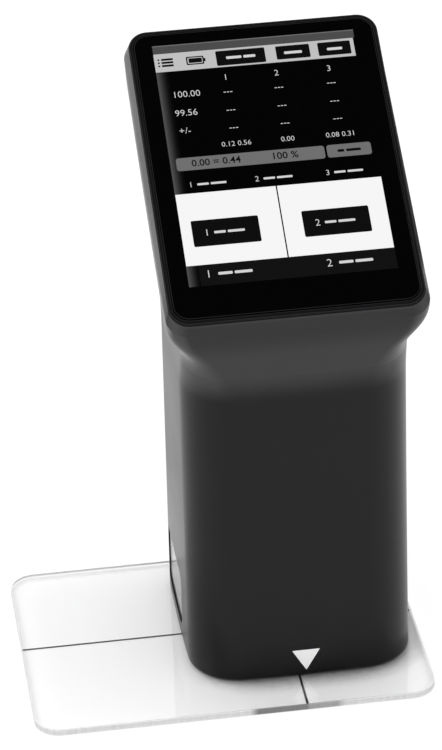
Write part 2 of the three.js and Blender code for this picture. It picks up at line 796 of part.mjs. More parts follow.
// Cover over the port bay, set a little into the column, with a round hinge edge
function portCover() {
  const reach = sideFace + overrun;
  const panel = prismAlongX(coverOutline(0, coverHingeCorner), -reach, coverInner, smallSteps);
  const above = coverBottom + coverHeight + overrun;
  const flatEdge = box([-reach, pivot[1], 0], [0, coverBack + overrun, above]);
  const knuckle = rod("z", pivotRadius - fineGap, pivot, coverBottom + coverCorner / 2,
    coverBottom + coverHeight - coverCorner / 2);
  const pinHole = rod("z", hingePinRadius + fineGap, pivot, 0, above, pinSteps);
  const sunkForm = loft(sections.map((section) => ring(inset(section, coverSink))));
  return panel.subtract(flatEdge).intersect(sunkForm).add(knuckle).subtract(pinHole);
}

// Sockets, switch and reset key on the port board
function portParts() {
  piece("port_bay", portBay(), "black");
  piece("port_cover", portCover(), "cover");
  piece("port_cover_pin", rod("z", hingePinRadius, pivot, coverBottom - gap - pinEngage,
    coverBottom + coverHeight + gap + pinEngage, pinSteps), "metal");

  const back = ioBoardFront - gap;
  const mouth = bayFloor + fineGap;
  const board = roundedRect(coverFront + bayWall, coverBottom, coverBack - coverFront - 2 * bayWall,
    ioBoardHeight, boardCorner);
  piece("port_board", prismAlongX(board, ioBoardFront, ioBoardFront + boardThickness, smallSteps), "board");

  const usb = roundedRect(usbAlong - usbWidth / 2, usbUp - usbHeight / 2, usbWidth, usbHeight,
    usbHeight / 4);
  const room = roundedRect(usbAlong - usbWidth / 2 + usbWall, usbUp - usbHeight / 2 + usbWall,
    usbWidth - 2 * usbWall, usbHeight - 2 * usbWall, usbHeight / 8);
  piece("usb_socket", prismAlongX(usb, mouth, back, smallSteps)
    .subtract(prismAlongX(room, mouth - overrun, back - bayWall, smallSteps)), "metal");

  const half = jackSize / 2;
  piece("power_jack", box([mouth, jackAlong - half, jackUp - half], [back, jackAlong + half, jackUp + half])
    .subtract(rod("x", jackBore, [jackAlong, jackUp], mouth - overrun, back - bayWall, pinSteps)), "black");

  const behind = bayFloor + bayWall + gap;
  const low = knobAlong - knobWidth / 2 - bayWall;
  const high = knobAlong + knobWidth / 2 + knobTravel + bayWall;
  piece("power_switch", box([behind + bayWall, low, knobUp - knobHeight / 2],
    [back, high, knobUp + knobHeight / 2]), "metal");
  piece("switch_knob", box([bayFloor - knobProud, knobAlong - knobWidth / 2, knobUp - knobHeight / 2],
    [behind + bayWall - gap, knobAlong + knobWidth / 2, knobUp + knobHeight / 2]), "white");

  const keyEnd = back - resetTravel;
  piece("reset_key", rod("x", resetRadius, [jackAlong, resetUp], bayFloor - resetProud, keyEnd, pinSteps),
    "white");
}

// Flat frame around the glass, on the housing's lip
function headBezel() {
  const half = rimWidth / 2;
  const at = (above, front, side) => ring({
    front: [-rimLength / 2 - front, above],
    rear: [rimLength / 2 + side, above],
    halfWidth: half + side,
    radius: rimCorner,
    bow: 0,
  });
  const edge = bezelEdge;
  const body = loft([at(-bezelThickness, bezelThickness, 0), at(-edge, edge, 0), at(0, -edge / 2, -edge / 2)]);
  return body.subtract(prism(glassOutline(gap), -bezelThickness - overrun, overrun));
}

// Outline of the glass in the head's own x, y
function glassOutline(grow) {
  const side = bezelSideWidth + gap - grow;
  const front = bezelFrontWidth + gap - grow;
  return roundedRect(-rimWidth / 2 + side, -rimLength / 2 + front, rimWidth - 2 * side,
    rimLength - side - front, glassCorner + grow);
}

// Middle of the display along the slope, from the middle of the rim
const screenMiddle = screenFrontMargin + screenLength / 2 - rimLength / 2;

function rect(width, length, middle, radius) {
  return roundedRect(-width / 2, middle - length / 2, width, length, radius);
}

// Glass, display panel, carrier and main board, stacked down from the rim
function headParts() {
  piece("head_bezel", headBezel(), "trim", head);
  const glassBottom = -rimSeatDepth + gap;
  const glassTop = glassBottom + glassThickness;
  const glass = prism(glassOutline(0), glassBottom, glassTop - glassEdge)
    .add(prism(glassOutline(-glassEdge), glassBottom, glassTop));
  piece("touch_glass", glass, "glass", head);

  const panelTop = glassBottom - gap;
  const panelBottom = panelTop - panelThickness;
  const panelWidth = screenWidth + 2 * panelBorder;
  const panelLength = screenLength + 2 * panelBorder;
  const panel = rect(panelWidth, panelLength, screenMiddle, panelBorder);
  piece("display_panel", prism(panel, panelBottom, panelTop, smallSteps), "black", head);

  const carrierTop = panelTop - gap;
  const floorTop = panelBottom - gap;
  const floorBottom = floorTop - carrierFloor;
  const drawnIn = wall + carrierSideGap;
  let carrier = prism(rect(rimWidth - 2 * drawnIn, rimLength - 2 * drawnIn, 0, rimCorner - drawnIn),
    floorBottom, carrierTop);
  const pocket = rect(panelWidth + 2 * gap, panelLength + 2 * gap, screenMiddle, panelBorder);
  carrier = carrier.subtract(prism(pocket, floorTop, carrierTop + overrun, smallSteps));
  const boardWidth = screenWidth - boardMargin;
  const boardLength = screenLength - boardEndMargin;
  const cut = 4 * standoffRadius;
  const window = rect(boardWidth - cut, boardLength - cut, screenMiddle, standoffRadius);
  carrier = carrier.subtract(prism(window, floorBottom - overrun, floorTop + overrun, smallSteps));
  const standoffBottom = floorBottom - standoffHeight;
  const side = boardWidth / 2 - standoffRadius;
  const reach = boardLength / 2 - standoffRadius;
  [[-side, -reach], [side, -reach], [-side, reach], [side, reach]].forEach(([x, y]) => {
    carrier = carrier.add(rod("z", standoffRadius, [x, screenMiddle + y], standoffBottom,
      floorBottom + carrierFloor / 2, pinSteps));
  });
  piece("display_carrier", carrier, "black", head);
  const boardTop = standoffBottom - gap;
  const board = rect(boardWidth, boardLength, screenMiddle, boardCorner);
  piece("main_board", prism(board, boardTop - boardThickness, boardTop, smallSteps), "board", head);
}

// Clear plate that the instrument stands on, with a hole for the nose
function locatingPlate() {
  const outline = roundedRect(-plateWidth / 2, -plateDepth / 2, plateWidth, plateDepth, plateCorner);
  const hole = rod("z", noseRadius + plateHoleClearance, [axisRight, axisBack], -overrun,
    plateThickness + overrun);
  piece("locating_plate", prism(outline, 0, plateThickness).subtract(hole), "clear", part);
}

locatingPlate();
piece("main_housing", mainHousing(), "housing");
piece("rear_cover", rearCover(), "housing");
headParts();
keyParts();
baseParts();
opticsParts();
batteryParts();
portParts();

export default part;
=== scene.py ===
import json
import math

import bmesh
import bpy
import numpy as np
from bpy.props import FloatProperty, FloatVectorProperty, IntProperty, PointerProperty
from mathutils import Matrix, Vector


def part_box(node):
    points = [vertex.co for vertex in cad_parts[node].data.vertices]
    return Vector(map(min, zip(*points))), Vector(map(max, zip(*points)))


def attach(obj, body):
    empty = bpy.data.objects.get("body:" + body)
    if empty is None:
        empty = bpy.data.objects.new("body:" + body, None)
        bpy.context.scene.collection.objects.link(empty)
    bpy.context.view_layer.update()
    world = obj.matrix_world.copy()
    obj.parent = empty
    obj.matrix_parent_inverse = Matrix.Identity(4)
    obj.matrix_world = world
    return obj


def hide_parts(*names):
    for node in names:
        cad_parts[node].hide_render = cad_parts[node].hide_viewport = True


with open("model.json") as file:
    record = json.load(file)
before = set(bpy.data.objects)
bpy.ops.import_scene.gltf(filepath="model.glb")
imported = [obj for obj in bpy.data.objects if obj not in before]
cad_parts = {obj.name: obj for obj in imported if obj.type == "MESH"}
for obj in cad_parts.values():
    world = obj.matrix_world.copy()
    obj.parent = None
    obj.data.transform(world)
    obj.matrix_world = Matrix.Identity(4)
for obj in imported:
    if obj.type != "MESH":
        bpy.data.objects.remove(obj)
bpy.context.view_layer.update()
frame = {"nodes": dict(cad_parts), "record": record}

bl_info = {
    "name": "Bench colorimeter looks",
    "version": (1, 0, 0),
    "blender": (4, 5, 0),
    "location": "View3D > Sidebar > Colorimeter",
    "description": "Builds the looks and the stage of a bench colorimeter round its packed frame",
    "category": "Object",
}

MM = 0.001

# Places read from the frame: the optical axis, the plate's top and the pieces that skins follow
NOSE_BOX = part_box("measuring_nose")
PLATE_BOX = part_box("locating_plate")
COVER_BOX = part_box("port_cover")
KEY_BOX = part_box("measuring_key")
REAR_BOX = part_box("rear_cover")
AXIS_X = (NOSE_BOX[0][0] + NOSE_BOX[1][0]) / 2
AXIS_Y = (NOSE_BOX[0][1] + NOSE_BOX[1][1]) / 2
BASE_Z = PLATE_BOX[1][2]

# Sections of the rounding at the column's foot
EDGE_STEPS = 5

# Area over which a face of glass is shaded flat
BROAD = 20 * MM * MM

# Shares of the flare that each section of the head has reached, bottom to top:
# rise of its front, reach of its front, rise of its rear, reach of its rear, widening
FLARE_SHARES = np.array([
    [0.000, 0.000, 0.000, 0.000, 0.000],
    [0.226, 0.020, 0.249, 0.186, 0.003],
    [0.291, 0.085, 0.358, 0.276, 0.012],
    [0.364, 0.200, 0.457, 0.363, 0.055],
    [0.437, 0.314, 0.549, 0.446, 0.158],
    [0.510, 0.430, 0.632, 0.526, 0.335],
    [0.583, 0.543, 0.707, 0.602, 0.561],
    [0.656, 0.657, 0.777, 0.674, 0.779],
    [0.729, 0.770, 0.838, 0.744, 0.920],
    [0.801, 0.886, 0.878, 0.821, 0.970],
    [0.893, 1.000, 0.936, 1.000, 0.971],
])


def length(name, text, value):
    """A length property in metres from a value in millimetres."""
    return FloatProperty(name=name, description=text, default=value * MM, unit="LENGTH", precision=5)


def tint(name, text, value):
    """A colour property."""
    return FloatVectorProperty(name=name, description=text, default=value, subtype="COLOR", min=0, max=1)


class HousingSizes(bpy.types.PropertyGroup):
    """Sizes of the moulded housing."""
    column_front: length("Column front", "Front of the column from the optical axis", 29.6)
    column_lean: length("Column lean", "How far the front leans back over its height", 2.6)
    column_rear: length("Column rear", "Rear of the column from the optical axis", 39.3)
    base_width: length("Base width", "Width of the column at its base", 67.3)
    top_width: length("Top width", "Width of the column under the head", 66.6)
    column_corner: length("Column corner", "Corner radius of the column", 14)
    bow: length("Bow", "Crown of the column's faces", 1.2)
    side_bow: FloatProperty(name="Side bow", description="Crown of the sides over that of the front",
                            default=0.67)
    base_edge: length("Base edge", "Rounding at the foot of the column", 0.4)
    foot: length("Foot height", "Gap under the column", 0.3)
    flare_start: length("Flare start", "Height at which the head begins to widen", 97)
    wall: length("Wall", "Wall of the housing", 2.4)
    rim_front: length("Rim front", "Front edge of the rim from the optical axis", 29.15)
    rim_height: length("Rim height", "Height of the rim's front edge", 124.45)
    rim_length: length("Rim length", "Length of the rim along its slope", 100.9)
    rim_width: length("Rim width", "Width of the rim", 75.3)
    rim_corner: length("Rim corner", "Corner radius of the rim", 6)
    corner_fade: FloatProperty(name="Corner fade", description="How the corners tighten up the head",
                               default=1.22)
    rim_seat: length("Rim seat", "Depth of the glass seat under the rim", 1.8)
    lip: length("Lip", "Depth of the housing's lip under the rim", 0.45)
    chin: length("Chin", "Furthest front of the head from the optical axis", 30.9)
    head_back: length("Head back", "How far the head's back stands behind the rim", 4.5)
    belt: length("Belt", "How far the head is wider than its rim on each side", 1.2)
    tilt: FloatProperty(name="Tilt", description="Slope of the display", default=math.radians(31.72),
                        subtype="ANGLE")
    cover_sink: length("Cover sink", "How far the port cover lies under the housing's face", 0.4)
    gap: length("Gap", "Clearance between neighbouring mouldings", 0.3)
    rear_top: length("Rear cover top", "Top of the rear cover over the plate", 93.85)
    key_flange: length("Key flange", "Flange of the measuring key behind the rear cover", 1.5)
    key_start: length("Key start", "Distance of the key's inner face from the front of its box", 0.3)
    key_crown: length("Key crown", "Rounding of the measuring key", 1.6)
    port_corner: length("Port corner", "Corner radius of the port cover away from its hinge", 3.5)
    port_reach: length("Port reach", "How far the port's outline passes the cover's box at the hinge", 0.15)
    opening_corner: length("Opening corner", "Corner radius of the port's opening at the hinge", 0.8)
    cover_corner: length("Cover corner", "Corner radius of the port cover at the hinge", 4)
    hinge_radius: length("Hinge radius", "Radius of the port cover's hinge barrel", 1.25)
    hinge_inset: length("Hinge inset", "Distance of the hinge axis from the port cover's inner face", 1.4)
    hinge_short: length("Hinge short", "How far the barrel ends before each end of the port cover", 1.5)
    pointer_low: length("Pointer low", "Tip of the printed pointer over the column's foot", 1.6)
    pointer_high: length("Pointer high", "Top of the printed pointer over the column's foot", 8.6)
    pointer_half: length("Pointer half width", "Half the width of the printed pointer", 4.25)


class PlateSizes(bpy.types.PropertyGroup):
    """Sizes of the clear plate's edges, hole and lines."""
    edge: length("Edge", "Rounding of the plate's edges", 0.35)
    corner: length("Corner", "Corner radius of the plate", 8)
    hole_inset: length("Hole inset", "How much smaller the hole's radius is than the nose's", 3.7)
    line_half: length("Line half width", "Half the width of an etched line", 0.36)
    line_depth: length("Line depth", "Height of the etched lines over the plate's underside", 0.06)
    line_thick: length("Line thickness", "Thickness of the etched lines", 0.03)
    line_shift: length("Line shift", "Place of the front line beside the optical axis", -1.9)
    line_gap: length("Line gap", "Distance of the lines from the hole", 1.5)
    shade_reach: length("Shade reach", "How far from a wall the plate darkens", 13)


class DisplaySizes(bpy.types.PropertyGroup):
    """Sizes of the glass and of what the display shows."""
    width: length("Width", "Width of the lit area", 61.3)
    height: length("Height", "Length of the lit area up the slope", 83.1)
    front_margin: length("Front margin", "Distance of the lit area from the rim's front edge", 12.2)
    bezel_side: length("Bezel side", "Width of the bezel beside the glass", 1.3)
    bezel_front: length("Bezel front", "Width of the bezel in front of the glass", 1.5)
    glass_proud: length("Glass proud", "How far the glass stands over the rim", 0.2)
    glass_edge: length("Glass edge", "Rounding of the glass edge", 0.15)
    glass_corner: length("Glass corner", "Corner radius of the glass", 4.6)
    bezel_edge: length("Bezel edge", "Rounding of the bezel's outer edge", 0.42)
    bezel_reach: length("Bezel reach", "How far the bezel stands over the rim's front", 0.084)
    bezel_lip: length("Bezel lip", "Rounding of the bezel's inner edge", 0.2)
    ink: length("Image depth", "Thickness of the drawn image layers", 0.02)
    fade: length("Fade", "Width of the light that fades in at the image's left edge", 3.4)


class Finish(bpy.types.PropertyGroup):
    """Colours and surface values."""
    housing: tint("Housing", "Colour of the moulded housing", (0.0072, 0.0072, 0.0076))
    # Painted light: not the plastic's own colour but a lighter one that stands in for the light falling on
    # the housing round the head.
    underside: tint("Underside", "Colour of the housing round the head", (0.075, 0.075, 0.076))
    housing_rough: FloatProperty(name="Housing roughness", description="Roughness of the housing",
                                 default=0.3)
    trim: tint("Trim", "Colour of the bezel", (0.008, 0.008, 0.009))
    glass: tint("Glass", "Colour of the black backed glass", (0.001, 0.001, 0.001))
    cover: tint("Port cover", "Colour of the port cover", (0.1, 0.1, 0.101))
    key: tint("Key", "Colour of the measuring key", (0.05, 0.05, 0.053))
    print_white: tint("Print", "Colour of the printed pointer", (0.93, 0.93, 0.93))
    plate: tint("Plate", "Tint of the clear plate", (0.975, 0.975, 0.975))


class StageValues(bpy.types.PropertyGroup):
    """Camera, light and the fineness of the meshes."""
    camera_place: FloatVectorProperty(name="Camera place", description="Place of the camera", subtype="XYZ",
                                      unit="LENGTH", default=(-0.12408, -0.94812, 0.65121))
    camera_turn: FloatVectorProperty(name="Camera turn", description="Turn of the camera", subtype="EULER",
                                     default=tuple(math.radians(a) for a in (59.7983, 1.386, -8.4441)))
    lens: FloatProperty(name="Lens", description="Focal length on a 36 mm high sensor", default=178.8)
    sky: FloatProperty(name="Sky", description="Strength of the soft light high up", default=2.0)
    sky_low: FloatProperty(name="Low sky", description="Its strength at the horizon", default=0.12)
    sky_left: FloatProperty(name="Sky left", description="Its share towards the left", default=1.2)
    floor_lit: FloatProperty(name="Floor lit", description="Paper colour to other pieces", default=0.8)
    floor_seen: FloatProperty(name="Floor seen", description="Paper colour to the eye", default=0.2)
    floor_through: FloatProperty(name="Floor through", description="Paper colour through the plate",
                                 default=1.09)
    floor_glow: FloatProperty(name="Floor glow", description="What the paper adds to the eye", default=0.85)
    floor_mirrored: FloatProperty(name="Floor mirrored", description="What it adds in reflections",
                                  default=0.42)
    floor_lift: FloatProperty(name="Floor lift", description="What it adds through the plate", default=0.02)
    floor_size: length("Floor size", "Side of the floor", 4000)
    floor_drop: length("Floor drop", "How far the floor lies under the plate", 0.05)
    column_steps: IntProperty(name="Column steps", description="Sections of the column's skin", default=26)
    flare_steps: IntProperty(name="Flare steps", description="Sections of the head's skin", default=64)
    corner_steps: IntProperty(name="Corner steps", description="Points of a corner", default=18)
    side_steps: IntProperty(name="Side steps", description="Points of a side", default=12)


def sizes():
    """The housing's sizes."""
    return bpy.context.scene.colorimeter_housing


def shown():
    """The display's sizes."""
    return bpy.context.scene.colorimeter_display


def finish():
    """The colours and surface values."""
    return bpy.context.scene.colorimeter_finish


def plate_sizes():
    """The plate's sizes."""
    return bpy.context.scene.colorimeter_plate


def stage_values():
    """The camera, light and mesh values."""
    return bpy.context.scene.colorimeter_stage


def place(points):
    """Points measured from the optical axis and the plate's top, moved into the frame."""
    return np.asarray(points, float) + np.array([AXIS_X, AXIS_Y, BASE_Z])


def on_rim(x, along, above):
    """Points of the rim plane: x, distance up the slope from its front edge, height over it."""
    s = sizes()
    cos, sin = math.cos(s.tilt), math.sin(s.tilt)
    x, along, above = np.broadcast_arrays(np.asarray(x, float), along, above)
    return place(np.stack([
        x,
        -s.rim_front + along * cos - above * sin,
        s.rim_height + along * sin + above * cos,
    ], axis=-1))


def spread(table, t):
    """Rows of a table read at shares t by a Catmull-Rom spline through its rows."""
    t = np.asarray(t, float) * (len(table) - 1)
    i = np.clip(t.astype(int), 0, len(table) - 2)
    f = (t - i)[:, None]
    padded = np.vstack([2 * table[:1] - table[1:2], table, 2 * table[-1:] - table[-2:-1]])
    a, b, c, d = padded[i], padded[i + 1], padded[i + 2], padded[i + 3]
    return b + f * ((c - a) / 2 + f * ((2 * a - 5 * b + 4 * c - d) / 2 + f * (3 * b - 3 * c + d - a) / 2))


def housing_sections():
    """Sections of the housing, bottom to top, as columns: front y, z, rear y, z, half width,
    corner radius, bow. The column's front leans back by a parabola, the base edge is a
    quarter circle, and the flare follows a spline through its shares."""
    s, st = sizes(), stage_values()
    rise = s.flare_start - s.foot
    edge_turn = np.linspace(0, math.pi / 2, EDGE_STEPS + 1)[:-1]
    heights = np.concatenate([
        s.foot + s.base_edge * (1 - np.cos(edge_turn)),
        np.linspace(s.foot + s.base_edge, s.flare_start, st.column_steps),
    ])
    inset = np.concatenate([s.base_edge * (1 - np.sin(edge_turn)), np.zeros(st.column_steps)])
    share = (heights - s.foot) / rise
    lean = s.column_lean * (1 - (1 - share) ** 2)
    column = np.stack([
        -s.column_front + lean + inset, heights,
        s.column_rear - inset, heights,
        s.base_width / 2 + (s.top_width - s.base_width) / 2 * share - inset,
        s.column_corner - inset,
        np.full_like(share, s.bow),
    ], axis=1)
    shares = spread(FLARE_SHARES, np.linspace(0, 1, st.flare_steps)[1:])
    top_front = -s.column_front + s.column_lean
    rim_rear = s.rim_length * math.cos(s.tilt) - s.rim_front
    rim_top = s.rim_height + s.rim_length * math.sin(s.tilt)
    left = 1 - shares[:, 0]
    flare = np.stack([
        top_front + (-s.chin - top_front) * shares[:, 1],
        s.flare_start + (s.rim_height - s.flare_start) * shares[:, 0],
        s.column_rear + (rim_rear + s.head_back - s.column_rear) * shares[:, 3],
        s.flare_start + (rim_top - s.flare_start) * shares[:, 2],
        s.top_width / 2 + (s.rim_width / 2 + s.belt - s.top_width / 2) * shares[:, 4],
        s.rim_corner + (s.column_corner - s.rim_corner) * left ** s.corner_fade,
        s.bow * left,
    ], axis=1)
    cos, sin = math.cos(s.tilt), math.sin(s.tilt)
    lip = s.lip
    rim = np.array([
        -s.rim_front - lip * cos + lip * sin, s.rim_height - lip * sin - lip * cos,
        -s.rim_front + s.rim_length * cos + lip * sin,
        s.rim_height + s.rim_length * sin - lip * cos,
        s.rim_width / 2, s.rim_corner, 0,
    ])
    steps = np.linspace(0, 1, 5)[1:, None]
    top = flare[-1] + (rim - flare[-1]) * steps
    return np.vstack([column, flare, top])


def ring_points(rows, corner_steps, side_steps):
    """Closed rings of rounded rectangles, one for each row of section values. A ring runs
    round four quarter circles and the straight sides between them, each face is crowned by a
    parabola, and the flat ring is laid on the line from its front to its rear."""
    quarter = np.repeat(np.arange(4), corner_steps + side_steps)
    step = np.tile(np.arange(corner_steps + side_steps), 4)
    on_corner = step < corner_steps
    turn = np.where(on_corner, step / (corner_steps - 1), 1)
    mix = np.where(on_corner, 0, (step - corner_steps + 1) / (side_steps + 1))
    signs = np.array([[1, 1], [-1, 1], [-1, -1], [1, -1]])
    front, rear = rows[:, None, 0:2], rows[:, None, 2:4]
    half, radius, bow = rows[:, 4:5], rows[:, 5:6], rows[:, 6:7]
    span = np.linalg.norm(rear - front, axis=2)
    along_half = span / 2

    def corner(q, t):
        """Points at the share t of the quarter circle q."""
        angle = (q + t) * math.pi / 2
        sx, sy = signs[q % 4, 0], signs[q % 4, 1]
        return (sx * (half - radius) + radius * np.cos(angle),
                sy * (along_half - radius) + radius * np.sin(angle))

    ax, ay = corner(quarter, turn)
    bx, by = corner(quarter + 1, np.zeros_like(turn))
    x, v = ax + (bx - ax) * mix, ay + (by - ay) * mix
    out_x = x + bow * sizes().side_bow * (x / half) * (1 - (v / along_half) ** 2)
    out_v = v + bow * (v / along_half) * (1 - (x / half) ** 2)
    line = (rear - front) / span[..., None]
    flat = (front + rear) / 2 + out_v[..., None] * line
    return np.concatenate([out_x[..., None], flat], axis=2)


def drawn_in(rows, by):
    """Section rows with each section drawn in by a wall."""
    line = rows[:, 2:4] - rows[:, 0:2]
    line /= np.linalg.norm(line, axis=1)[:, None]
    inner = rows.copy()
    inner[:, 0:2] += line * by
    inner[:, 2:4] -= line * by
    inner[:, 4] -= by
    inner[:, 5] -= by
    return inner


def mesh_object(name, points, faces, smooth=True):
    """A new object at the origin from points and faces."""
    mesh = bpy.data.meshes.new(name)
    mesh.from_pydata(np.asarray(points).tolist(), [], [tuple(map(int, face)) for face in faces])
    mesh.update()
    obj = bpy.data.objects.new(name, mesh)
    bpy.context.collection.objects.link(obj)
    if smooth:
        mesh.polygons.foreach_set("use_smooth", np.ones(len(mesh.polygons), bool))
    return obj


def grid_faces(rows, count, closed_rows=False):
    """Quads between neighbouring rings of a grid whose rings are closed."""
    r = np.arange(rows if closed_rows else rows - 1)[:, None]
    i = np.arange(count)[None, :]
    j = (i + 1) % count
    n = (r + 1) % rows
    return np.stack([r * count + i, r * count + j, n * count + j, n * count + i], axis=2).reshape(-1, 4)


def loft_object(name, rings, smooth=True):
    """A closed skin over rings, bottom to top, with a flat face at each end."""
    rows, count = rings.shape[:2]
    ends = [np.arange(count)[::-1], np.arange(count) + (rows - 1) * count]
    return mesh_object(name, rings.reshape(-1, 3), [*grid_faces(rows, count), *ends], smooth)


def stacked(name, outline_at, heights, insets, mapping):
    """A closed skin over stacked outlines, each drawn in by its inset at its height."""
    rings = [mapping(*outline_at(inset).T, h) for h, inset in zip(heights, insets)]
    return loft_object(name, np.stack(rings))


def prism_object(name, outline, low, high, mapping):
    """A closed prism over a flat outline of [a, b] points; mapping(a, b, h) gives its place."""
    a, b = np.asarray(outline, float).T
    return loft_object(name, np.stack([mapping(a, b, low), mapping(a, b, high)]), smooth=False)


def rounded_outline(low, high, radius, far_radius=None, steps=8):
    """Outline of a rounded rectangle between two corners, counter-clockwise. Its high side in
    the first direction can have another radius."""
    far = radius if far_radius is None else far_radius
    corners = [(high[0], low[1], -1, 1, far, -0.5), (high[0], high[1], -1, -1, far, 0),
               (low[0], high[1], 1, -1, radius, 0.5), (low[0], low[1], 1, 1, radius, 1)]
    x, y, sx, sy, r, start = (np.array(corners).T)[..., None]
    angle = (start + np.linspace(0, 0.5, steps + 1)) * math.pi
    points = np.stack([x + sx * r + r * np.cos(angle), y + sy * r + r * np.sin(angle)], axis=2)
    return points.reshape(-1, 2)


def circle(x, y, radius, count):
    """Outline of a circle round x, y, counter-clockwise."""
    angle = np.arange(count) * 2 * math.pi / count
    return np.stack([x + radius * np.cos(angle), y + radius * np.sin(angle)], axis=1)


def across(a, b, h):
    """Mapping of a side prism: the outline lies in y, z and the height runs along x."""
    return place(np.column_stack([np.full_like(a, h), a, b]))


def backwards(a, b, h):
    """Mapping of a rear prism: the outline lies in x, z and the height runs along y."""
    return place(np.column_stack([a, np.full_like(a, h), b]))


def upright(a, b, h):
    """Mapping of an upright prism: the outline lies in x, y."""
    return place(np.column_stack([a, b, np.full_like(a, h)]))


def remake_normals(obj, merge=None):
    """Points the faces of a closed mesh outwards, after points nearer than merge are joined."""
    bm = bmesh.new()
    bm.from_mesh(obj.data)
    if merge:
        bmesh.ops.remove_doubles(bm, verts=bm.verts, dist=merge)
    bmesh.ops.recalc_face_normals(bm, faces=bm.faces)
    bm.to_mesh(obj.data)
    bm.free()


def carved(obj, cutters, operation="DIFFERENCE"):
    """The object with cutters taken away, joined or kept in common, as a plain mesh."""
    for cutter in cutters:
        remake_normals(cutter)
        modifier = obj.modifiers.new("cut", "BOOLEAN")
        modifier.operation = operation
        modifier.solver = "EXACT"
        modifier.object = cutter
    settle(obj)
    for cutter in cutters:
        bpy.data.objects.remove(cutter)
    return obj


def settle(obj):
    """Turns an object's live modifiers into its plain mesh."""
    graph = bpy.context.evaluated_depsgraph_get()
    mesh = bpy.data.meshes.new_from_object(obj.evaluated_get(graph))
    obj.modifiers.clear()
    obj.data = mesh


def shade(obj, angle=40, flat=math.inf):
    """Smooth shading that stays sharp at edges over an angle. Faces over the area flat are
    shaded flat, so that they mirror and refract as true planes."""
    obj.data.set_sharp_from_angle(angle=math.radians(angle))
    area = np.empty(len(obj.data.polygons))
    obj.data.polygons.foreach_get("area", area)
    obj.data.polygons.foreach_set("use_smooth", area < flat)


def done(obj, slot, body, replaced=(), material=None):
    """Gives a finished piece its slot, its body, the nodes that it stands for and its material,
    which is the slot's where no other is given."""
    obj.data.materials.clear()
    obj.data.materials.append(material or slot_material(slot))
    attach(obj, body)
    if replaced:
        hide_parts(*replaced)


# Materials

class Tree:
    """A node tree with short ways to add to it. A value is a node's output or a plain number."""

    def __init__(self, owner):
        self.nodes, self.links = owner.node_tree.nodes, owner.node_tree.links
        self.shader = self.nodes.get("Principled BSDF")

    def fill(self, socket, value):
        """Links an output to a socket, or sets the socket to a plain value."""
        if isinstance(value, bpy.types.NodeSocket):
            self.links.new(value, socket)
        else:
            socket.default_value = value

    def set(self, name, value):
        """Fills a socket of the principled shader."""
        self.fill(self.shader.inputs[name], value)

    def add(self, kind, inputs=None, **settings):
        """A new node with its settings and with its inputs, by name or number."""
        node = self.nodes.new(kind)
        for name, value in settings.items():
            setattr(node, name, value)
        for name, value in (inputs or {}).items():
            self.fill(node.inputs[name], value)
        return node

    def maths(self, operation, *values):
        """The result of a Math node."""
        return self.add("ShaderNodeMath", dict(enumerate(values)), operation=operation).outputs["Value"]

    def product(self, first, *others):
        """Values multiplied together."""
        for other in others:
            first = self.maths("MULTIPLY", first, other)
        return first

    def between(self, source, start, end, low=0, high=1, way="SMOOTHSTEP"):
        """A value that passes from low to high while the source goes from start to end."""
        inputs = {"Value": source, "From Min": start, "From Max": end, "To Min": low, "To Max": high}
        return self.add("ShaderNodeMapRange", inputs, interpolation_type=way).outputs["Result"]

    def ranged(self, texture, low, high):
        """A noise's value spread over a range."""
        return self.between(texture, 0.3, 0.7, low, high, "LINEAR")

    def own_place(self):
        """The point in the object's own coordinates."""
        return self.add("ShaderNodeTexCoord").outputs["Object"]

    def geometry(self, name):
        """An output of the Geometry node."""
        return self.add("ShaderNodeNewGeometry").outputs[name]

    def parts(self, vector):
        """The x, y and z of a vector."""
        return self.add("ShaderNodeSeparateXYZ", {"Vector": vector}).outputs

    def noise(self, scale, detail=2.0, rough=0.5):
        """Noise over the object's own coordinates."""
        inputs = {"Vector": self.own_place(), "Scale": scale, "Detail": detail, "Roughness": rough}
        return self.add("ShaderNodeTexNoise", inputs).outputs["Fac"]

    def scaled(self, colour, share):
        """A colour times a value."""
        node = self.add("ShaderNodeVectorMath", {0: colour, "Scale": share}, operation="SCALE")
        return node.outputs["Vector"]

    def blended(self, share, a, b):
        """Two colours mixed by a value, 0 for the first."""
        node = self.add("ShaderNodeMix", {"Factor": share, "A": a, "B": b}, data_type="RGBA")
        return node.outputs["Result"]

    def mixed(self, share, first, second):
        """Two shaders mixed by a value, 0 for the first."""
        return self.add("ShaderNodeMixShader", {0: share, 1: first, 2: second}).outputs["Shader"]

    def show(self, shader):
        """Makes a shader the surface."""
        self.links.new(shader, self.nodes["Material Output"].inputs["Surface"])

    def toned(self, colour, share, scale):
        """Base colour that varies a little in broad patches."""
        dark, light = ([min(1, c * k) for c in colour] for k in (1 - share, 1 + share))
        self.set("Base Color", self.blended(self.noise(scale), (*dark, 1), (*light, 1)))

    def grained(self, scale, strength, depth):
        """Fine moulded grain as bump."""
        inputs = {"Height": self.noise(scale, 3.0, 0.6), "Strength": strength, "Distance": depth}
        self.set("Normal", self.add("ShaderNodeBump", inputs).outputs["Normal"])


def surface(name, build, *values):
    """The material of this name, made by build(tree, *values) on its first use."""
    material = bpy.data.materials.get(name)
    if not material:
        material = bpy.data.materials.new(name)
        material.use_nodes = True
        build(Tree(material), *values)
    return material


def plastic(tree, colour, rough, grain=2600.0, strength=0.12, level=0.5):
    """A moulded plastic with fine grain and slightly uneven gloss."""
    tree.toned(colour, 0.08, 60)
    tree.set("Roughness", tree.ranged(tree.noise(35), rough - 0.02, rough + 0.02))
    tree.set("Specular IOR Level", level)
    tree.grained(grain, strength, 0.06 * MM)


